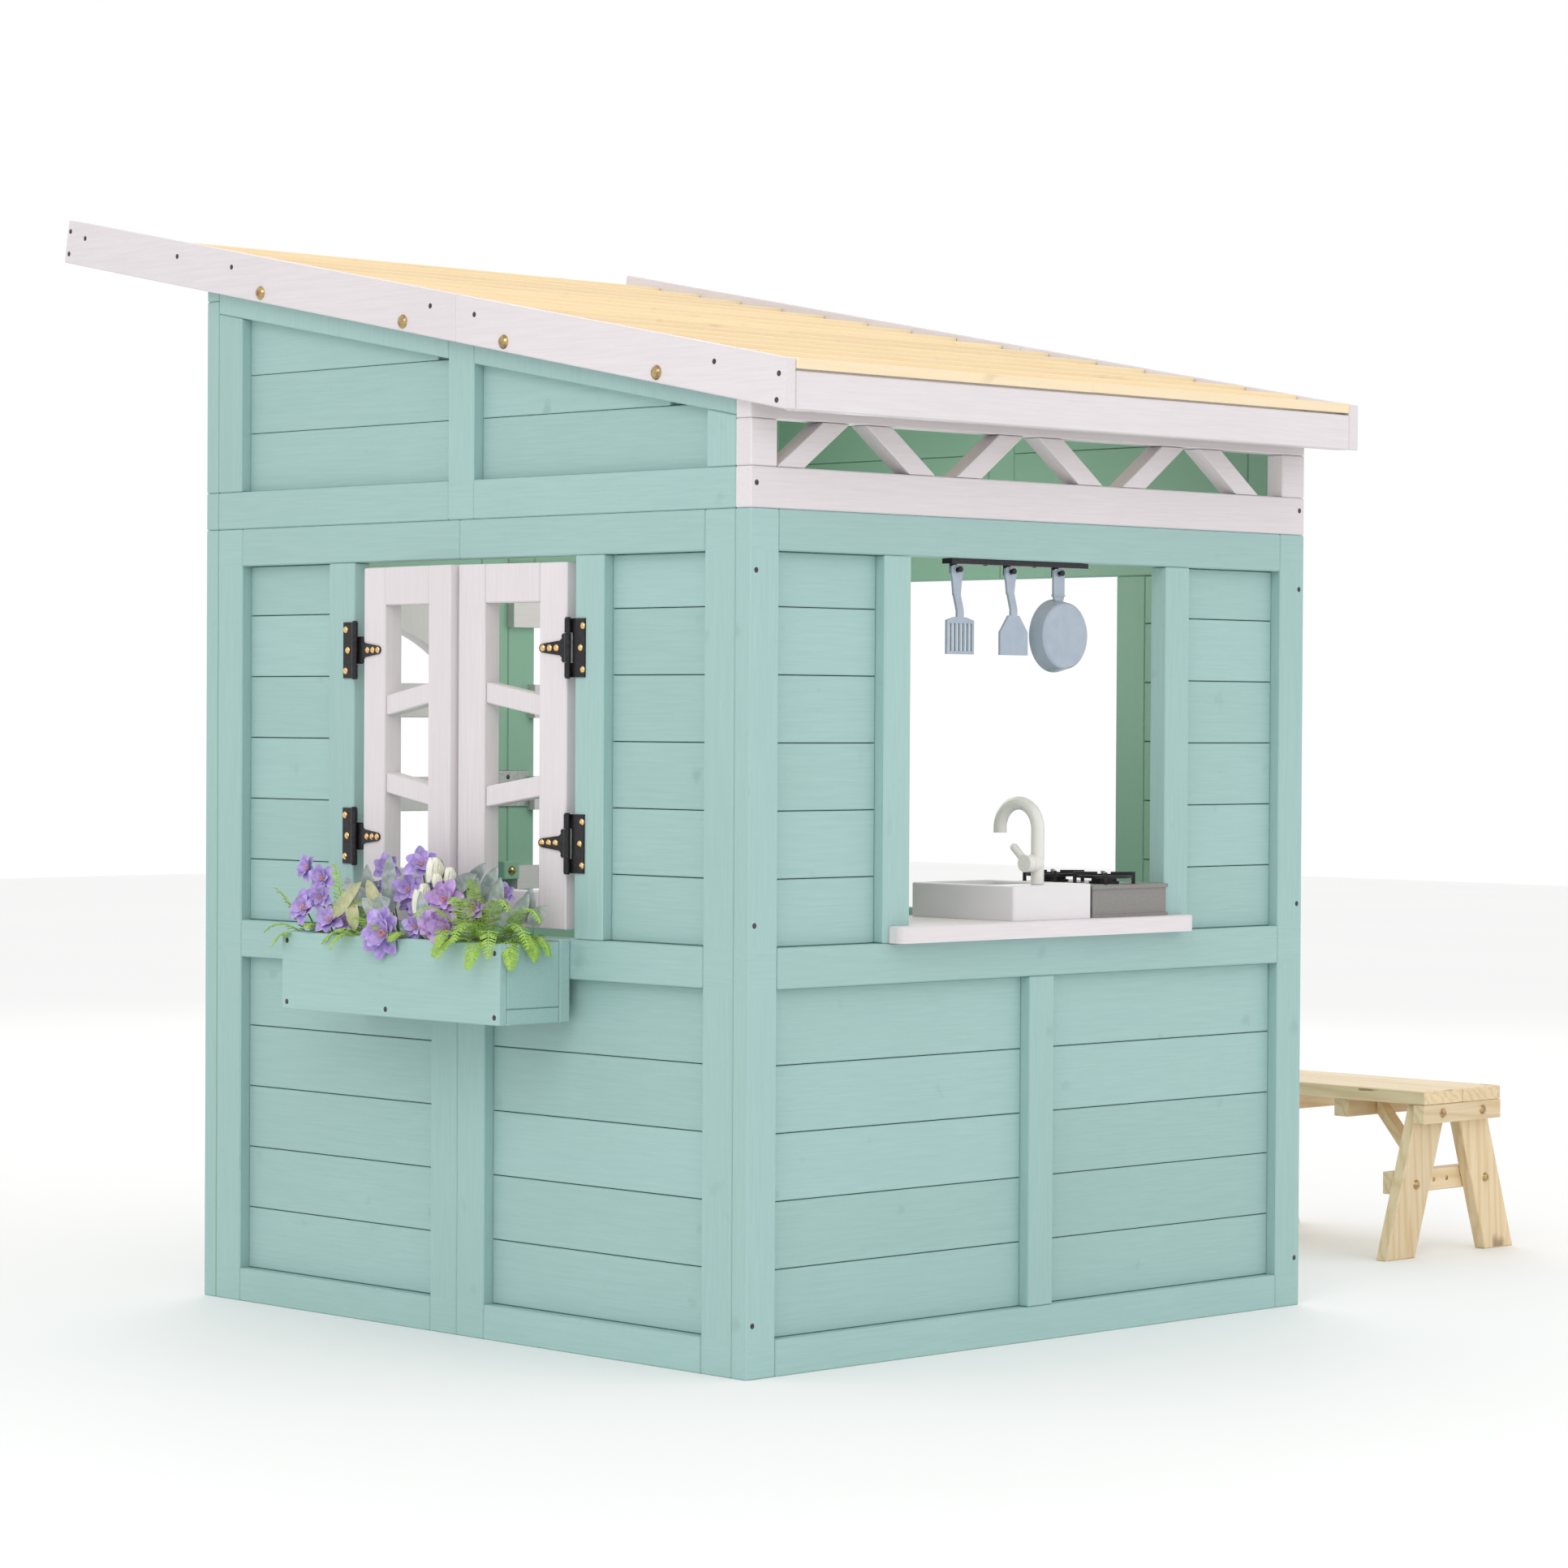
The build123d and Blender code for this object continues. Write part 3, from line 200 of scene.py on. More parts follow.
def rail_mask(shader, vector):
    """1 at the heights of the horizontal rails, 0 elsewhere."""
    height = shader.add("ShaderNodeSeparateXYZ")
    shader.join(vector, height.inputs[0])
    total = 0.0
    for low, high in RAIL_BANDS:
        above = shader.math("GREATER_THAN", height.outputs[2], low)
        below = shader.math("LESS_THAN", height.outputs[2], high)
        total = shader.math("ADD", shader.math("MULTIPLY", above, below), total)
    return total


def inner_shade_mask(shader, vector, axis):
    """1 on faces across the given axis that look into the cabin, where the painted inner shade goes."""
    facing = shader.add("ShaderNodeNewGeometry").outputs["Normal"]
    across = shader.stretched(vector, tuple(float(letter == axis) for letter in "xyz"))
    node = shader.add("ShaderNodeVectorMath", operation="DOT_PRODUCT")
    shader.join(across, node.inputs[0])
    shader.join(facing, node.inputs[1])
    return shader.math("LESS_THAN", node.outputs["Value"], -0.25)


def grain_height(shader, vector, along):
    """Fine streaks that run along the board, and the same field's coarse version."""
    shifted = shader.island_vector(vector, 13.0)
    fine = shader.noise(shader.stretched(shifted, ALONG[along]), 9.0, 6.0, 0.62)
    coarse = shader.noise(shader.stretched(shifted, ALONG[along]), 1.6, 3.0, 0.5)
    return fine, coarse


def painted_wood(name, tone, shade, along=("z",), inner_shade_tone=None, knots=0.35, across="y"):
    """Satin paint over planed softwood: streaks of grain, faint knots and board-to-board change, and a
    darker, greener painted shade on faces that look into the cabin.
    """
    shader = Shader(name, Coat_Weight=0.08, Coat_Roughness=0.4, Specular_IOR_Level=0.35)
    where = shader.position()
    fine, coarse = grain_height(shader, where, along[0])
    if len(along) == 2:
        other_fine, other_coarse = grain_height(shader, where, along[1])
        mask = rail_mask(shader, where)
        fine = shader.mix(mask, fine, other_fine)
        coarse = shader.mix(mask, coarse, other_coarse)
    streak = shader.spread(fine, 0.38, 0.66)
    colour = shader.mix(streak, tone, shade)
    broad = shader.noise(where, 3.2, 3.0)
    duller, darker = tuple(c * 0.92 for c in shade), tuple(c * 0.72 for c in shade)
    colour = shader.mix(shader.spread(broad, 0.35, 0.7, 0.0, 0.30), colour, duller)
    knot = shader.noise(shader.island_vector(where, 5.0), 21.0, 2.0, 0.4)
    colour = shader.mix(shader.spread(knot, 0.70, 0.80, 0.0, knots), colour, darker)
    board = shader.spread(shader.board_chance(), 0.0, 1.0, 0.955, 1.035)
    bright = shader.add("ShaderNodeHueSaturation")
    shader.join(board, bright.inputs["Value"])
    shader.join(colour, bright.inputs["Color"])
    colour = bright.outputs[0]
    # Painted shade: faces that look into the cabin are mixed towards a darker, greener tone for the dim
    # interior.
    if inner_shade_tone is not None:
        colour = shader.mix(inner_shade_mask(shader, where, across), colour, shader.mix(0.80, colour, inner_shade_tone))
    shader.colour(colour)
    shader.roughness(shader.spread(coarse, 0.3, 0.7, 0.42, 0.58))
    shader.bump(shader.math("ADD", fine, shader.math("MULTIPLY", coarse, 0.6)), 0.35, 0.0007)
    return shader.material


def clear_pine(name, light, dark, along, rings=26.0, edge=None):
    """Bare pine under clear lacquer: growth lines, knots and fine pores along the board, with painted
    shade on the downhill edges when edge is given.
    """
    shader = Shader(name, Coat_Weight=0.12, Coat_Roughness=0.35, Specular_IOR_Level=0.4)
    where = shader.island_vector(shader.position(), 9.0)
    fine, coarse = grain_height(shader, shader.position(), along)
    bands = shader.add("ShaderNodeTexWave", wave_type="BANDS", bands_direction="DIAGONAL")
    bands.inputs["Scale"].default_value = rings
    bands.inputs["Distortion"].default_value = 7.0
    bands.inputs["Detail"].default_value = 3.0
    bands.inputs["Detail Scale"].default_value = 1.2
    squash = tuple(0.07 if axis == along else 1.0 for axis in "xyz")
    shader.join(shader.stretched(where, squash), bands.inputs["Vector"])
    line = shader.math("POWER", bands.outputs["Fac"], 2.2)
    colour = shader.mix(shader.math("MULTIPLY", line, 0.55), light, dark)
    colour = shader.mix(shader.spread(fine, 0.35, 0.7, 0.0, 0.35), colour, dark)
    knot = shader.noise(where, 17.0, 2.0, 0.35)
    colour = shader.mix(shader.spread(knot, 0.71, 0.79, 0.0, 0.8), colour, tuple(c * 0.42 for c in dark))
    board = shader.spread(shader.board_chance(), 0.0, 1.0, 0.90, 1.06)
    bright = shader.add("ShaderNodeHueSaturation")
    shader.join(board, bright.inputs["Value"])
    shader.join(colour, bright.inputs["Color"])
    colour = bright.outputs[0]
    # Painted shade: board edges facing downhill (+x), turned away from the overhead light, are mixed
    # towards the darker, more orange edge tone.
    if edge is not None:
        outward = shader.add("ShaderNodeSeparateXYZ")
        shader.join(shader.add("ShaderNodeNewGeometry").outputs["Normal"], outward.inputs[0])
        downhill = shader.math("GREATER_THAN", outward.outputs[0], 0.5)
        colour = shader.mix(downhill, colour, shader.mix(0.75, colour, edge))
    shader.colour(colour)
    shader.roughness(shader.spread(coarse, 0.3, 0.7, 0.38, 0.56))
    shader.bump(shader.math("ADD", fine, line), 0.3, 0.0005)
    return shader.material


def metal(name, tone, tint, roughness, metallic, grain=220.0, depth=0.0002):
    """Metal or enamel with slight mottling and orange peel."""
    shader = Shader(name, Metallic=metallic)
    where = shader.position()
    mottle = shader.noise(where, grain, 4.0)
    shader.colour(shader.mix(shader.spread(mottle, 0.35, 0.68), tone, tint))
    cloud = shader.noise(where, grain * 0.4, 3.0)
    shader.roughness(shader.spread(cloud, 0.3, 0.7, roughness * 0.8, roughness * 1.25))
    shader.bump(mottle, 0.25, depth)
    return shader.material


def moulded(name, tone, tint, roughness):
    """Smooth moulded plastic with a faint surface ripple."""
    shader = Shader(name, Coat_Weight=0.15, Coat_Roughness=0.2)
    where = shader.position()
    cloud = shader.noise(where, 9.0, 2.0)
    shader.colour(shader.mix(shader.spread(cloud, 0.3, 0.7), tone, tint))
    fine = shader.noise(where, 160.0, 3.0)
    shader.roughness(shader.spread(fine, 0.3, 0.7, roughness * 0.85, roughness * 1.2))
    shader.bump(shader.noise(where, 420.0, 2.0), 0.08, 0.0002)
    return shader.material


mint, mint_shade = (0.355, 0.535, 0.515), (0.325, 0.50, 0.48)
# Darker, greener copy of the mint for faces that look into the cabin: painted shade.
mint_inner_painted_shade = (0.25, 0.44, 0.31)
white, white_shade = (0.745, 0.70, 0.725), (0.705, 0.655, 0.675)
looks = {
    "frames_x": painted_wood("mint_frames_x", mint, mint_shade, ("z", "x"), mint_inner_painted_shade),
    "frames_y": painted_wood("mint_frames_y", mint, mint_shade, ("z", "y"), mint_inner_painted_shade, 0.35, "x"),
    "planks_x": painted_wood("mint_planks_x", mint, mint_shade, ("x",), mint_inner_painted_shade, 0.5),
    "planks_y": painted_wood("mint_planks_y", mint, mint_shade, ("y",), mint_inner_painted_shade, 0.5, "x"),
    # The high gable's inner faces take a still darker green: painted shade.
    "gable_green": painted_wood("gable_green", mint, mint_shade, ("y",), (0.10, 0.32, 0.12), 0.5, "x"),
    "mint_x": painted_wood("mint_boards_x", mint, mint_shade, ("x",)),
    "white_x": painted_wood("white_boards_x", white, white_shade, ("x",), None, 0.12),
    "white_y": painted_wood("white_boards_y", white, white_shade, ("y",), None, 0.12),
    "white_z": painted_wood("white_boards_z", white, white_shade, ("z", "x"), None, 0.12),
    # The roof's last colour is the painted shade on its downhill board edges.
    "roof": clear_pine(
        "roof_pine", (0.98, 0.90, 0.70), (0.92, 0.76, 0.50), "y", 26.0, (0.86, 0.68, 0.44)
    ),
    "seat": clear_pine("bench_pine_seat", (0.80, 0.65, 0.43), (0.64, 0.44, 0.21), "x", 30.0),
    "legs": clear_pine("bench_pine_legs", (0.80, 0.65, 0.43), (0.64, 0.44, 0.21), "z", 30.0),
    "rails": clear_pine("bench_pine_rails", (0.80, 0.65, 0.43), (0.64, 0.44, 0.21), "y", 30.0),
    "black": metal("black_iron", (0.008, 0.008, 0.010), (0.022, 0.021, 0.024), 0.34, 0.35),
    "brass": metal("brass_screws", (0.86, 0.58, 0.28), (0.70, 0.42, 0.18), 0.22, 1.0),
    "zinc": metal("yellow_zinc", (0.56, 0.43, 0.16), (0.28, 0.15, 0.13), 0.18, 1.0, 160.0),
    "dark": metal("dark_screws", (0.10, 0.085, 0.10), (0.05, 0.045, 0.055), 0.38, 0.8),
    "steel": metal("joining_steel", (0.42, 0.43, 0.42), (0.55, 0.55, 0.54), 0.42, 0.9),
    "utensil": metal("utensil_enamel", (0.35, 0.41, 0.49), (0.39, 0.45, 0.53), 0.36, 0.15, 60.0, 0.0001),
    "hob": metal("hob_grey", (0.235, 0.225, 0.215), (0.265, 0.255, 0.245), 0.42, 0.25, 300.0),
    "sink": moulded("sink_white", (0.75, 0.725, 0.745), (0.72, 0.695, 0.71), 0.34),
    "tap": moulded("tap_warm_white", (0.74, 0.73, 0.69), (0.69, 0.68, 0.64), 0.30),
}

finishes = {
    "frames_x": ("casement_wall_frame", "casement_gable_frame", "bench_wall_frame", "bench_gable_frame"),
    "frames_y": ("kitchen_wall_frame", "door_wall_frame", "high_gable_frame"),
    "planks_x": (
        "casement_wall_planks",
        "casement_gable_planks",
        "bench_wall_planks",
        "bench_gable_planks",
    ),
    "planks_y": ("kitchen_wall_planks", "door_wall_planks", "door_leaf_planks"),
    "gable_green": ("high_gable_planks",),
    "mint_x": ("flower_box_front", "flower_box_back", "flower_box_ends", "flower_box_bottom"),
    "white_x": ("near_side_fascia", "far_side_fascia", "roof_rafters"),
    "white_y": (
        "eave_lattice_frame",
        "eave_lattice_braces",
        "door_wall_light_boards",
        "low_eave_fascia",
        "high_eave_fascia",
        "serving_counter",
        "counter_brackets",
    ),
    "white_z": ("left_leaf_frame", "right_leaf_frame", "door_leaf_frame"),
    "roof": ("near_roof_boards", "far_roof_boards"),
    "seat": ("bench_seat",),
    "legs": ("bench_legs",),
    "rails": ("bench_rails",),
    "black": ("hinge_plates", "hinge_pins", "left_leaf_straps", "right_leaf_straps", "door_straps",
              "hob_grates", "hook_rail"),
    "brass": ("hinge_plate_screws", "left_leaf_screws", "right_leaf_screws", "door_strap_screws"),
    "zinc": ("brass_bolts", "bench_fasteners"),
    "dark": ("dark_screws",),
    "steel": ("panel_joining_plate",),
    "utensil": ("slotted_turner", "plain_turner", "frying_pan"),
    "hob": ("hob_body",),
    "sink": ("sink_basin",),
    "tap": ("faucet_body", "faucet_lever"),
}
flat_boards = (
    "frames_x",
    "frames_y",
    "planks_x",
    "planks_y",
    "gable_green",
    "mint_x",
    "white_x",
    "white_y",
    "white_z",
    "roof",
    "legs",
    "rails",
)
for look, names in finishes.items():
    for name in names:
        for slot in nodes[name].material_slots:
            slot.material = looks[look]
        corner_normals = nodes[name].data.attributes.get("custom_normal")
        if look in flat_boards and corner_normals is not None:
            nodes[name].data.attributes.remove(corner_normals)


# ---------------------------------------------------------------- board joint shadows
def board_joint_shadows(node, body, look):
    """Dark strips that fill the narrow joints between a panel's horizontal boards: painted shadow in the
    gaps.
    """
    mesh = nodes[node].data
    tops = {}
    for polygon in mesh.polygons:
        if polygon.normal.z > 0.99:
            corners = [mesh.vertices[index].co for index in polygon.vertices]
            low = [min(corner[axis] for corner in corners) for axis in range(3)]
            high = [max(corner[axis] for corner in corners) for axis in range(3)]
            tops[tuple(round(value, 4) for value in low + high)] = (low, high)
    points, faces = [], []
    shadow_strip_half = 0.0012
    for low, high in tops.values():
        thin = 0 if high[0] - low[0] < high[1] - low[1] else 1
        middle = (low[thin] + high[thin]) / 2
        low[thin], high[thin] = middle - shadow_strip_half, middle + shadow_strip_half
        low[2], high[2] = low[2] - shadow_strip_half, high[2] + 2 * shadow_strip_half
        first = len(points)
        sides = [(low[axis], high[axis]) for axis in range(3)]
        points += [(x, y, z) for x in sides[0] for y in sides[1] for z in sides[2]]
        for face in ((0, 1, 3, 2), (4, 6, 7, 5), (0, 4, 5, 1), (2, 3, 7, 6), (0, 2, 6, 4), (1, 5, 7, 3)):
            faces.append(tuple(first + corner for corner in face))
    joints = bpy.data.meshes.new(node + "_joints")
    joints.from_pydata(points, [], faces)
    joints.materials.append(look)
    piece = bpy.data.objects.new(node + "_joints", joints)
    bpy.context.scene.collection.objects.link(piece)
    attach(piece, body)


# Near-black green for the joint strips: painted shadow in the gaps between boards.
joint_shadow_look = painted_wood("joint_gap_shadow", (0.075, 0.12, 0.11), (0.055, 0.09, 0.085), ("x",))
for wall in ("casement_wall_planks", "casement_gable_planks", "bench_wall_planks", "bench_gable_planks",
             "kitchen_wall_planks", "door_wall_planks", "high_gable_planks"):
    board_joint_shadows(wall, "house", joint_shadow_look)
board_joint_shadows("door_leaf_planks", "door", joint_shadow_look)


# ---------------------------------------------------------------- flowers in the box
box_low, box_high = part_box("flower_box_front")
fill_low, fill_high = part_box("flowers")
soil_top = box_high.z - 0.004
leaf_face_y = -0.568
swing_bottom = 0.543


# Material numbers of the petals, leaves and stems.
lavender, cream, lime, thread, pollen, silver, stalk, pale, pink = range(9)


class Sprigs:
    """A growing mesh of petals and leaves with one material number per face."""

    def __init__(self):
        self.points = []
        self.faces = []
        self.numbers = []

    def blade(self, start, heading, face, length, width, number,
              bend=0.6, cup=0.25, profile="leaf", rows=6):
        """One petal or leaf: a cupped strip that bends from its heading towards its face side."""
        heading = heading.normalized()
        side = heading.cross(face).normalized()
        face = side.cross(heading).normalized()
        first = len(self.points)
        place = start.copy()
        for row in range(rows + 1):
            share = row / rows
            if profile == "petal":
                half = width / 2 * max(0.10, math.sin(math.pi * (0.10 + 0.86 * share ** 1.25)) ** 0.7)
            else:
                half = width / 2 * max(0.03, math.sin(math.pi * (0.05 + 0.94 * share ** 0.85)) ** 0.8)
            turn = bend * share
            ahead = heading * math.cos(turn) + face * math.sin(turn)
            out = face * math.cos(turn) - heading * math.sin(turn)
            if row:
                place = place + ahead * (length / rows)
            rise = out * (half * cup * 2)
            ripple = out * (width * 0.05 * math.sin(share * 9.0))
            inner = rise * 0.3
            self.points += [
                place - side * half + rise + ripple,
                place - side * half * 0.5 + inner,
                place,
                place + side * half * 0.5 + inner,
                place + side * half + rise - ripple,
            ]
        for row in range(rows):
            for column in range(4):
                corner = first + row * 5 + column
                self.faces.append((corner, corner + 1, corner + 6, corner + 5))
                self.numbers.append(number)

    def bead(self, centre, radius, number, stretch=1.0, axis=Vector((0, 0, 1))):
        """A small faceted ball, longer along its axis by stretch."""
        axis = axis.normalized()
        across = axis.orthogonal().normalized()
        other = axis.cross(across)
        first = len(self.points)
        rings, around = 5, 8
        for ring in range(rings + 1):
            polar = math.pi * ring / rings
            for step in range(around):
                angle = math.tau * step / around
                out = (across * math.cos(angle) + other * math.sin(angle)) * math.sin(polar)
                self.points.append(centre + (axis * (stretch * math.cos(polar)) + out) * radius)
        for ring in range(rings):
            for step in range(around):
                here = first + ring * around + step
                beside = first + ring * around + (step + 1) % around
                self.faces.append((here, beside, beside + around, here + around))
                self.numbers.append(number)

    def stem(self, start, end, radius, number, sag=0.0):
        """A thin tube between two points, bowed by sag."""
        first = len(self.points)
        steps, around = 5, 5
        way = (end - start).normalized()
        across = way.orthogonal().normalized()
        other = way.cross(across)
        for step in range(steps + 1):
            share = step / steps
            place = start.lerp(end, share) + Vector((0, 0, sag * math.sin(math.pi * share)))
            for turn in range(around):
                angle = math.tau * turn / around
                self.points.append(place + (across * math.cos(angle) + other * math.sin(angle)) * radius)
        for step in range(steps):
            for turn in range(around):
                here = first + step * around + turn
                beside = first + step * around + (turn + 1) % around
                self.faces.append((here, beside, beside + around, here + around))
                self.numbers.append(number)

    def blossom(self, centre, facing, size, petals=7, number=lavender, layers=2):
        """Open flower: rings of cupped petals round a stamen cluster, on a stem from the soil."""
        facing = facing.normalized()
        across = facing.orthogonal().normalized()
        other = facing.cross(across)
        for layer in range(layers):
            for petal in range(petals):
                angle = math.tau * (petal + 0.5 * layer + chance.uniform(-0.12, 0.12)) / petals
                out = across * math.cos(angle) + other * math.sin(angle)
                lean = 0.35 + 0.45 * layer + chance.uniform(-0.1, 0.1)
                heading = out * math.cos(lean) + facing * math.sin(lean)
                reach = size * (0.56 - 0.12 * layer) * chance.uniform(0.9, 1.1)
                self.blade(centre + out * (size * 0.03), heading, facing, reach, reach * 0.66, number,
                           bend=chance.uniform(-0.5, 0.2), cup=0.22, profile="petal")
        for stamen in range(9):
            angle = math.tau * stamen / 9
            out = across * math.cos(angle) + other * math.sin(angle)
            tip = centre + facing * (size * 0.17) + out * (size * 0.06)
            self.stem(centre, tip, size * 0.008, thread)
            self.bead(tip, size * 0.018, pollen, 1.3, facing)
        self.bead(centre + facing * (size * 0.03), size * 0.045, thread, 0.8, facing)
        self.stem(Vector((centre.x * 0.96, min(centre.y + 0.02, fill_high.y), soil_top - 0.006)),
                  centre - facing * 0.002, 0.0012, stalk)

    def bud(self, centre, size):
        """Closed rosebud of overlapping upright petals."""
        upward = Vector((0, 0, 1))
        foot = centre - upward * (size * 0.4)
        for petal in range(8):
            angle = petal * 2.4
            out = Vector((math.cos(angle), math.sin(angle), 0))
            start = foot + out * (size * 0.16 * (1 + petal / 8))
            self.blade(start, out * 0.35 + upward, -out, size * 0.95, size * 0.62, cream,
                       bend=0.7, cup=0.3, profile="petal")
        self.stem(Vector((centre.x, centre.y + 0.01, soil_top - 0.005)), foot, 0.0014, stalk)

    def fern(self, root, heading, length, droop, width=0.030, number=lime, pairs=20):
        """Arching frond: pairs of toothed leaflets along a midrib that droops."""
        heading = heading.normalized()
        down = Vector((0, 0, -1))
        side = heading.cross(Vector((0, 0, 1))).normalized()
        place = root.copy()
        for pair in range(pairs):
            share = (pair + 1) / pairs
            ahead = (heading + down * (droop * share * share * 2.0)).normalized()
            last = place.copy()
            place = place + ahead * (length / pairs)
            self.stem(last, place, 0.0008, number)
            reach = width * (1 - share) ** 0.7 * min(1.0, 0.35 + share * 2.5) + 0.004
            over = side.cross(ahead).normalized()
            for sign in (-1, 1):
                out = (side * sign + ahead * 0.55 + over * chance.uniform(-0.25, 0.15)).normalized()
                self.blade(place, out, over, reach, 0.0030, number, bend=-0.35, cup=0.12, rows=4)
                for tooth in (0.3, 0.55, 0.8):
                    start = place + out * (reach * tooth)
                    for way in (-1, 1):
                        self.blade(start, out + ahead * way * 0.9, over, reach * 0.16, 0.0018, number,
                                   bend=-0.2, cup=0.05, rows=2)

    def kept_clear(self):
        """Above the leaves' lower edge nothing stands behind the plane just in front of the leaves."""
        for point in self.points:
            if point.z > swing_bottom and point.y > leaf_face_y:
                point.y = leaf_face_y - 0.002 * math.sin(point.x * 400) ** 2

    def finished(self, name, looks_used):
        """The mesh as a smooth-shaded object."""
        self.kept_clear()
        mesh = bpy.data.meshes.new(name)
        mesh.from_pydata([tuple(point) for point in self.points], [], self.faces)
        for look in looks_used:
            mesh.materials.append(look)
        mesh.polygons.foreach_set("material_index", self.numbers)
        mesh.polygons.foreach_set("use_smooth", [True] * len(mesh.polygons))
        obj = bpy.data.objects.new(name, mesh)
        bpy.context.scene.collection.objects.link(obj)
        return obj


def cloth_petal(name, base, tip, roughness=0.55):
    """Dyed fabric petal: veined, with a change of tone in patches and light through it."""
    shader = Shader(
        name, Sheen_Weight=0.25, Sheen_Roughness=0.5, Subsurface_Weight=0.12, Subsurface_Scale=0.004
    )
    shader.surface.inputs["Subsurface Radius"].default_value = (0.8, 0.5, 0.9)
    where = shader.position()
    patch = shader.noise(shader.island_vector(where, 3.0), 95.0, 3.0)
    colour = shader.mix(shader.spread(patch, 0.35, 0.65), base, tip)
    vein = shader.noise(shader.stretched(where, (900, 900, 160)), 1.0, 2.0)
    colour = shader.mix(shader.spread(vein, 0.45, 0.62, 0.0, 0.25), colour, tuple(c * 0.7 for c in base))
    bright = shader.add("ShaderNodeHueSaturation")
    shader.join(shader.spread(shader.board_chance(), 0.0, 1.0, 0.85, 1.12), bright.inputs["Value"])
    shader.join(colour, bright.inputs["Color"])
    shader.colour(bright.outputs[0])
    shader.surface.inputs["Roughness"].default_value = roughness
    shader.bump(vein, 0.2, 0.0002)
    return shader.material


petal_looks = [
    cloth_petal("lavender_petal", (0.37, 0.26, 0.66), (0.60, 0.47, 0.84)),
    cloth_petal("cream_petal", (0.80, 0.80, 0.62), (0.90, 0.88, 0.80)),
    cloth_petal("lime_fern", (0.30, 0.52, 0.06), (0.50, 0.72, 0.14), 0.6),
    cloth_petal("stamen_thread", (0.80, 0.42, 0.40), (0.88, 0.60, 0.45)),
    cloth_petal("stamen_tip", (0.78, 0.30, 0.16), (0.86, 0.44, 0.28)),
    cloth_petal("silver_leaf", (0.30, 0.36, 0.37), (0.52, 0.57, 0.56), 0.85),
    cloth_petal("green_stem", (0.12, 0.24, 0.06), (0.22, 0.36, 0.10), 0.6),
    cloth_petal("pale_leaf", (0.42, 0.46, 0.24), (0.60, 0.58, 0.36), 0.8),
    cloth_petal("pink_lavender_petal", (0.46, 0.28, 0.66), (0.66, 0.46, 0.78)),
]


def at(across, height, depth):
    """Point over the box: across and depth from its front left top corner, height above its edge."""
    return Vector((box_low.x + across, box_low.y + depth, box_high.z + height))


def leaves(sprigs, places, number, width):
    """Single upright leaves: place, lean to the right, length."""
    for across, height, depth, lean, length in places:
        foot = at(across, height - length * 0.9 * math.cos(lean), depth)
        sprigs.blade(foot, Vector((math.sin(lean), -0.12, math.cos(lean))), Vector((0.5, -0.9, 0.1)),
                     length, width, number, bend=chance.uniform(-0.25, 0.35), cup=0.16, rows=8)


def viewer(tilt_x=0.0, tilt_z=0.25):
    """A direction roughly out of the box's front with a given tilt."""
    return Vector((0.45 + tilt_x, -0.85, tilt_z))


# Rows say where each thing stands: across, height and depth from the box's front left top corner.
# Blossoms add size and sideways tilt, buds size, leaves lean and length, ferns heading, length, droop.
left_lavender_places = (
    (0.020, 0.084, 0.030, 0.036, -0.5),
    (0.046, 0.070, 0.034, 0.038, -0.2),
    (0.030, 0.030, 0.016, 0.046, -0.3),
    (0.052, 0.046, 0.024, 0.034, 0.2),
    (0.080, 0.016, 0.020, 0.040, -0.2),
    (0.100, 0.012, 0.030, 0.030, 0.1),
    (0.150, 0.088, 0.060, 0.036, 0.1),
    (0.146, 0.062, 0.062, 0.028, 0.2),
    (0.206, 0.060, 0.050, 0.040, 0.1),
    (0.220, 0.094, 0.060, 0.042, 0.3),
    (0.194, 0.042, 0.064, 0.030, -0.3),
)
left_silver_places = (
    (0.126, 0.090, 0.046, 0.22, 0.076),
    (0.140, 0.074, 0.050, -0.10, 0.066),
    (0.178, 0.100, 0.044, 0.04, 0.078),
    (0.168, 0.050, 0.022, 1.25, 0.058),
    (0.160, 0.062, 0.028, -1.1, 0.056),
    (0.188, 0.046, 0.024, -0.9, 0.050),
    (0.096, 0.070, 0.056, -0.5, 0.050),
    (0.110, 0.066, 0.050, 0.75, 0.050),
)
left_pale_places = (
    (0.134, 0.060, 0.018, -0.12, 0.060),
    (0.090, 0.066, 0.016, 0.95, 0.085),
    (0.176, 0.070, 0.026, -0.55, 0.046),
)
left_fern_places = (
    (0.014, 0.030, (-0.4, -0.3, 1.0), 0.075, 0.3),
    (0.010, 0.030, (-0.6, -0.5, 0.5), 0.060, 0.7),
    (0.084, 0.045, (0.1, -0.3, 1.0), 0.100, 0.1),
    (0.066, 0.050, (-0.3, -0.2, 1.0), 0.080, 0.2),
    (0.160, 0.020, (-0.6, -0.7, 0.6), 0.070, 1.0),
    (0.170, 0.030, (0.1, -0.8, 0.9), 0.062, 0.5),
    (0.150, 0.014, (-0.3, -0.9, 0.5), 0.055, 1.3),
    (0.180, 0.020, (0.5, -0.5, 0.7), 0.055, 0.6),
    (0.120, 0.040, (0.3, -0.3, 0.9), 0.060, 0.3),
    (0.140, 0.020, (-0.7, -0.4, 0.4), 0.060, 0.9),
    (0.048, 0.030, (0.2, -0.6, 0.6), 0.045, 0.6),
    (0.020, 0.014, (-0.5, -0.8, 0.3), 0.046, 1.2),
)
right_lavender_places = (
    (0.242, 0.034, 0.040, 0.036, 0.1),
    (0.258, 0.014, 0.020, 0.036, -0.1),
    (0.252, 0.060, 0.060, 0.036, 0.2),
    (0.276, 0.016, 0.040, 0.034, 0.2),
    (0.330, 0.036, 0.062, 0.032, -0.2),
    (0.380, 0.058, 0.066, 0.030, 0.2),
)
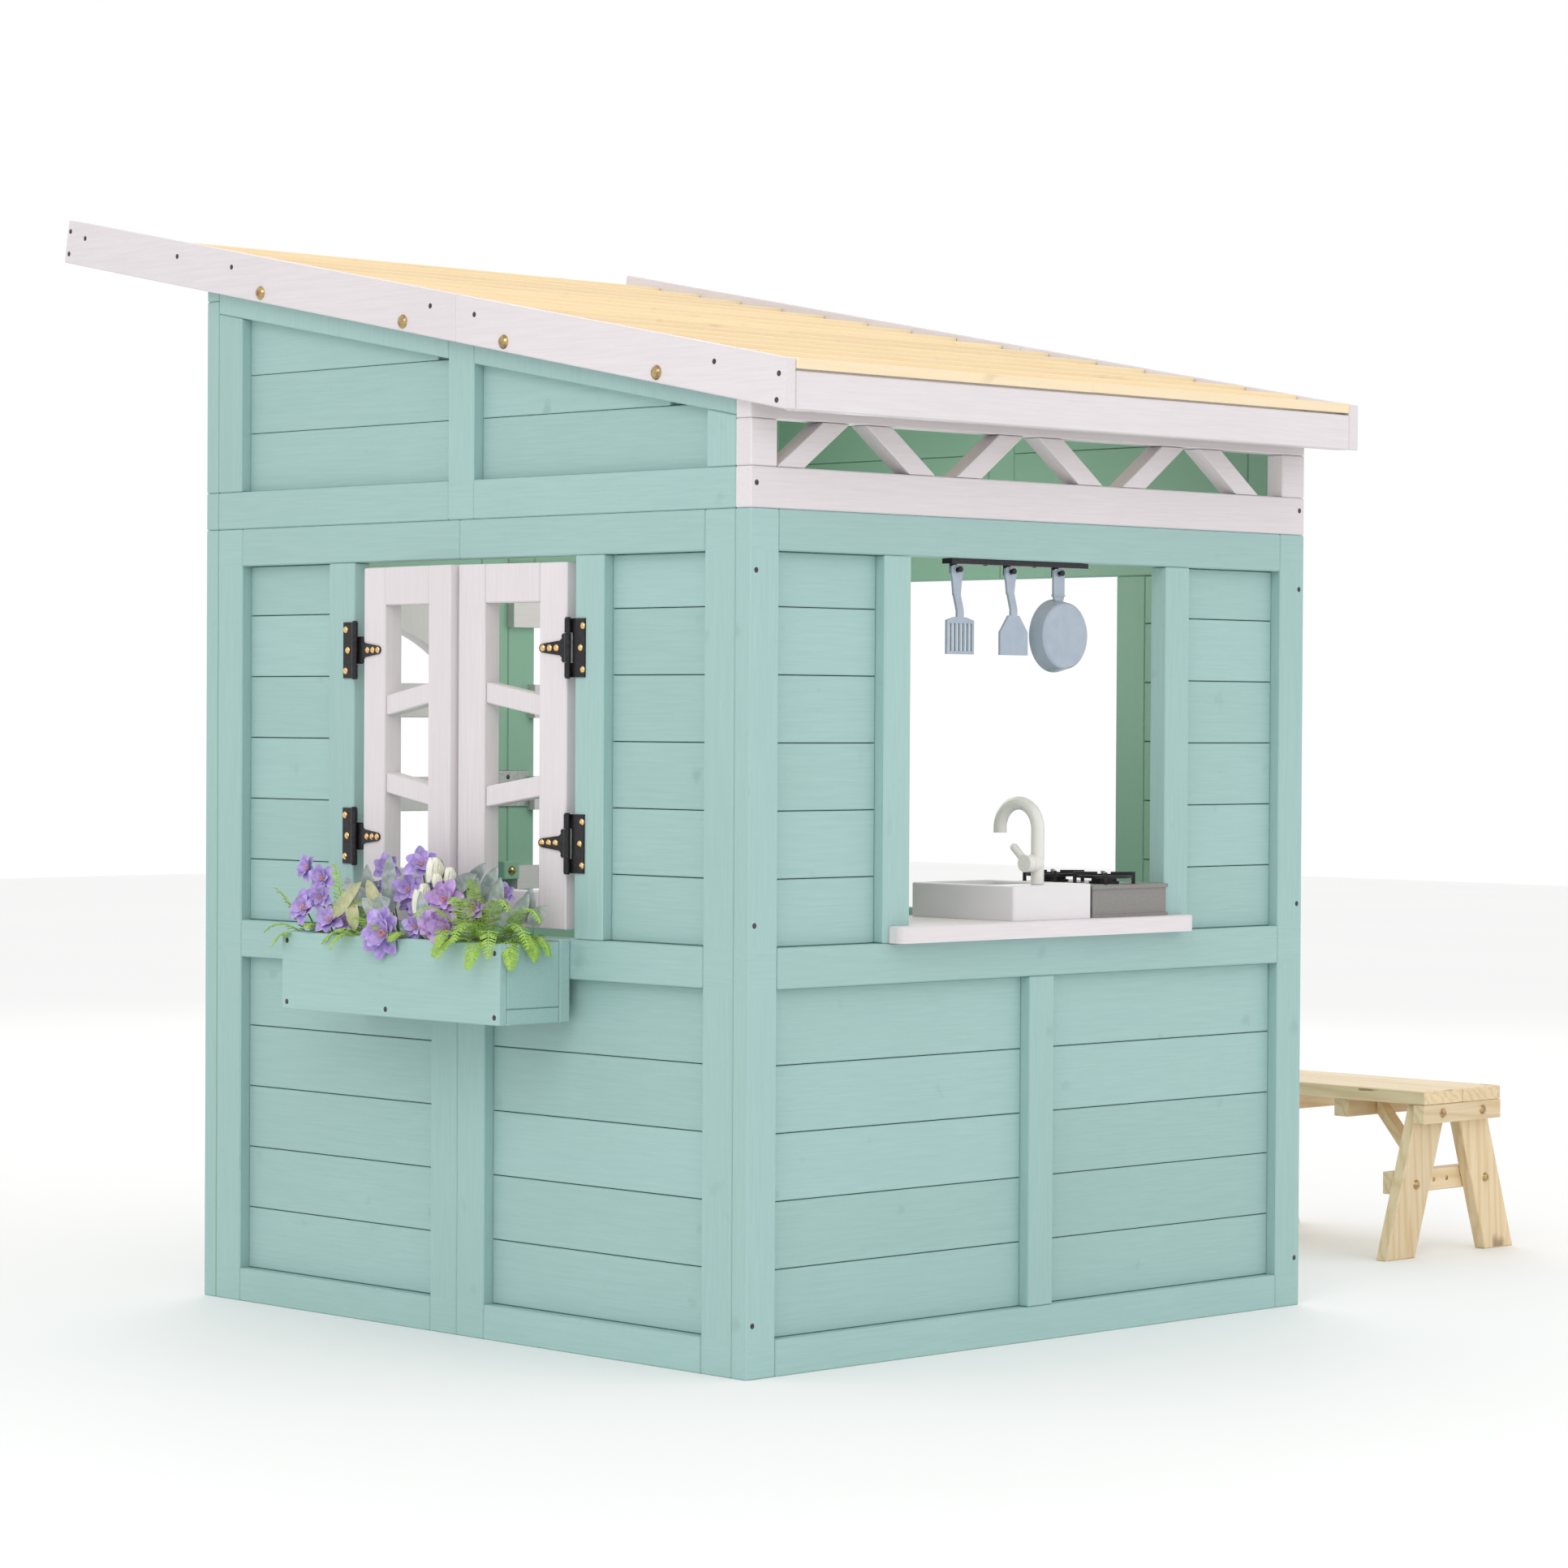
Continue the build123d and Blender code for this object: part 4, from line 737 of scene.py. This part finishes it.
right_pink_places = (
    (0.316, 0.052, 0.020, 0.046),
    (0.328, 0.012, 0.012, 0.044),
    (0.298, 0.018, 0.014, 0.036),
    (0.350, 0.040, 0.040, 0.034),
)
right_bud_places = (
    (0.262, 0.086, 0.048, 0.036),
    (0.264, 0.046, 0.022, 0.034),
    (0.288, 0.080, 0.052, 0.024),
    (0.276, 0.074, 0.040, 0.020),
    (0.270, 0.060, 0.024, 0.022),
)
right_silver_places = (
    (0.312, 0.096, 0.054, 0.85, 0.070),
    (0.332, 0.080, 0.050, 0.45, 0.070),
    (0.344, 0.092, 0.060, 0.65, 0.060),
    (0.290, 0.056, 0.016, -0.15, 0.066),
    (0.296, 0.084, 0.050, 1.2, 0.064),
    (0.366, 0.080, 0.060, 0.45, 0.062),
    (0.386, 0.060, 0.064, -0.2, 0.050),
    (0.404, 0.058, 0.062, 0.7, 0.055),
    (0.424, 0.066, 0.066, 0.3, 0.050),
    (0.270, 0.066, 0.058, -0.6, 0.048),
    (0.318, 0.070, 0.040, 0.10, 0.060),
    (0.434, 0.046, 0.064, 0.9, 0.045),
)
right_fern_places = (
    (0.345, 0.030, (-0.2, -0.6, 1.0), 0.095, 0.7),
    (0.355, 0.030, (0.3, -0.5, 1.0), 0.110, 0.6),
    (0.365, 0.040, (0.6, -0.2, 1.0), 0.120, 0.7),
    (0.375, 0.036, (0.3, -0.8, 0.8), 0.100, 0.9),
    (0.385, 0.045, (0.9, -0.2, 0.8), 0.110, 1.0),
    (0.390, 0.030, (0.7, -0.6, 0.7), 0.100, 1.2),
    (0.395, 0.050, (0.6, 0.0, 1.0), 0.100, 0.8),
    (0.360, 0.050, (-0.4, -0.2, 1.0), 0.095, 0.5),
    (0.380, 0.020, (-0.3, -1.0, 0.6), 0.070, 1.3),
    (0.400, 0.020, (0.4, -1.0, 0.4), 0.070, 1.6),
    (0.330, 0.024, (0.5, -0.8, 0.7), 0.080, 0.9),
    (0.405, 0.040, (1.0, 0.1, 0.6), 0.075, 1.4),
    (0.412, 0.050, (1.0, 0.0, 0.9), 0.070, 1.6),
    (0.418, 0.030, (1.0, -0.5, 0.6), 0.066, 2.2),
    (0.422, 0.060, (0.9, 0.2, 0.8), 0.060, 1.6),
    (0.350, 0.020, (0.0, -1.0, 0.5), 0.060, 1.2),
    (0.240, 0.024, (0.2, -0.8, 0.6), 0.050, 0.8),
    (0.345, 0.055, (0.2, -0.3, 1.0), 0.100, 0.4),
)

left = Sprigs()
for across, height, depth, size, tilt in left_lavender_places:
    left.blossom(at(across, height, depth), viewer(tilt, chance.uniform(0.1, 0.5)), size, 6)
left.blossom(at(0.214, 0.004, 0.004), viewer(-0.2, 0.15), 0.062, 8)
leaves(left, left_silver_places, silver, 0.024)
leaves(left, left_pale_places, pale, 0.019)
for across, depth, heading, length, droop in left_fern_places:
    left.fern(at(across, -0.004, depth), Vector(heading), length, droop, 0.014, lime, 16)

right = Sprigs()
for across, height, depth, size, tilt in right_lavender_places:
    right.blossom(at(across, height, depth), viewer(tilt, chance.uniform(0.1, 0.4)), size, 6)
for across, height, depth, size in right_pink_places:
    right.blossom(at(across, height, depth), viewer(0.0, 0.2), size, 7, pink)
for across, height, depth, size in right_bud_places:
    right.bud(at(across, height, depth), size)
leaves(right, right_silver_places, silver, 0.023)
for across, depth, heading, length, droop in right_fern_places:
    right.fern(at(across, -0.004, depth), Vector(heading), length, droop, 0.019, lime, 22)


def moss_bed():
    """Dark lumpy bed that the stems stand in."""
    across, deep = 90, 20
    low = Vector((fill_low.x - 0.001, fill_low.y - 0.001, 0))
    high = Vector((fill_high.x + 0.001, fill_high.y + 0.001, 0))
    points = []
    for row in range(deep + 1):
        for column in range(across + 1):
            rim = min(row, deep - row, column, across - column)
            lump = chance.uniform(-0.003, 0.003) + 0.0015 * math.sin(column * 0.9) * math.cos(row * 1.3)
            height = soil_top - 0.004 + lump if rim else box_low.z + 0.022
            x = low.x + (high.x - low.x) * column / across
            y = low.y + (high.y - low.y) * row / deep
            points.append((x, y, height))
    faces = []
    for row in range(deep):
        for column in range(across):
            corner = row * (across + 1) + column
            faces.append((corner, corner + 1, corner + across + 2, corner + across + 1))
    mesh = bpy.data.meshes.new("moss_bed")
    mesh.from_pydata(points, [], faces)
    shader = Shader("dark_moss", Roughness=0.95)
    clump = shader.noise(shader.position(), 260.0, 5.0)
    lightness = shader.spread(clump, 0.35, 0.65)
    shader.colour(shader.mix(lightness, (0.015, 0.02, 0.012), (0.06, 0.085, 0.03)))
    shader.bump(clump, 0.8, 0.002)
    mesh.materials.append(shader.material)
    moss = bpy.data.objects.new("moss_bed", mesh)
    bpy.context.scene.collection.objects.link(moss)
    return moss


left_flowers = left.finished("left_flowers", petal_looks)
right_flowers = right.finished("right_flowers", petal_looks)
moss = moss_bed()
for piece in (left_flowers, right_flowers, moss):
    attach(piece, "house")
    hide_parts("flowers")
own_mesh(left_flowers)
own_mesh(right_flowers)


# ---------------------------------------------------------------- floor
def plain_floor():
    """Large pale floor under the house."""
    mesh = bpy.data.meshes.new("floor")
    reach = 14.0
    corners = [(-reach, -reach, 0), (reach, -reach, 0), (reach, reach, 0), (-reach, reach, 0)]
    mesh.from_pydata(corners, [], [(0, 1, 2, 3)])
    floor = bpy.data.objects.new("floor", mesh)
    bpy.context.scene.collection.objects.link(floor)
    shader = Shader("floor_paint", Roughness=0.75)
    cloud = shader.noise(shader.position(), 0.8, 2.0)
    shader.colour(shader.mix(cloud, (0.90, 0.90, 0.90), (0.93, 0.93, 0.92)))
    mesh.materials.append(shader.material)


plain_floor()
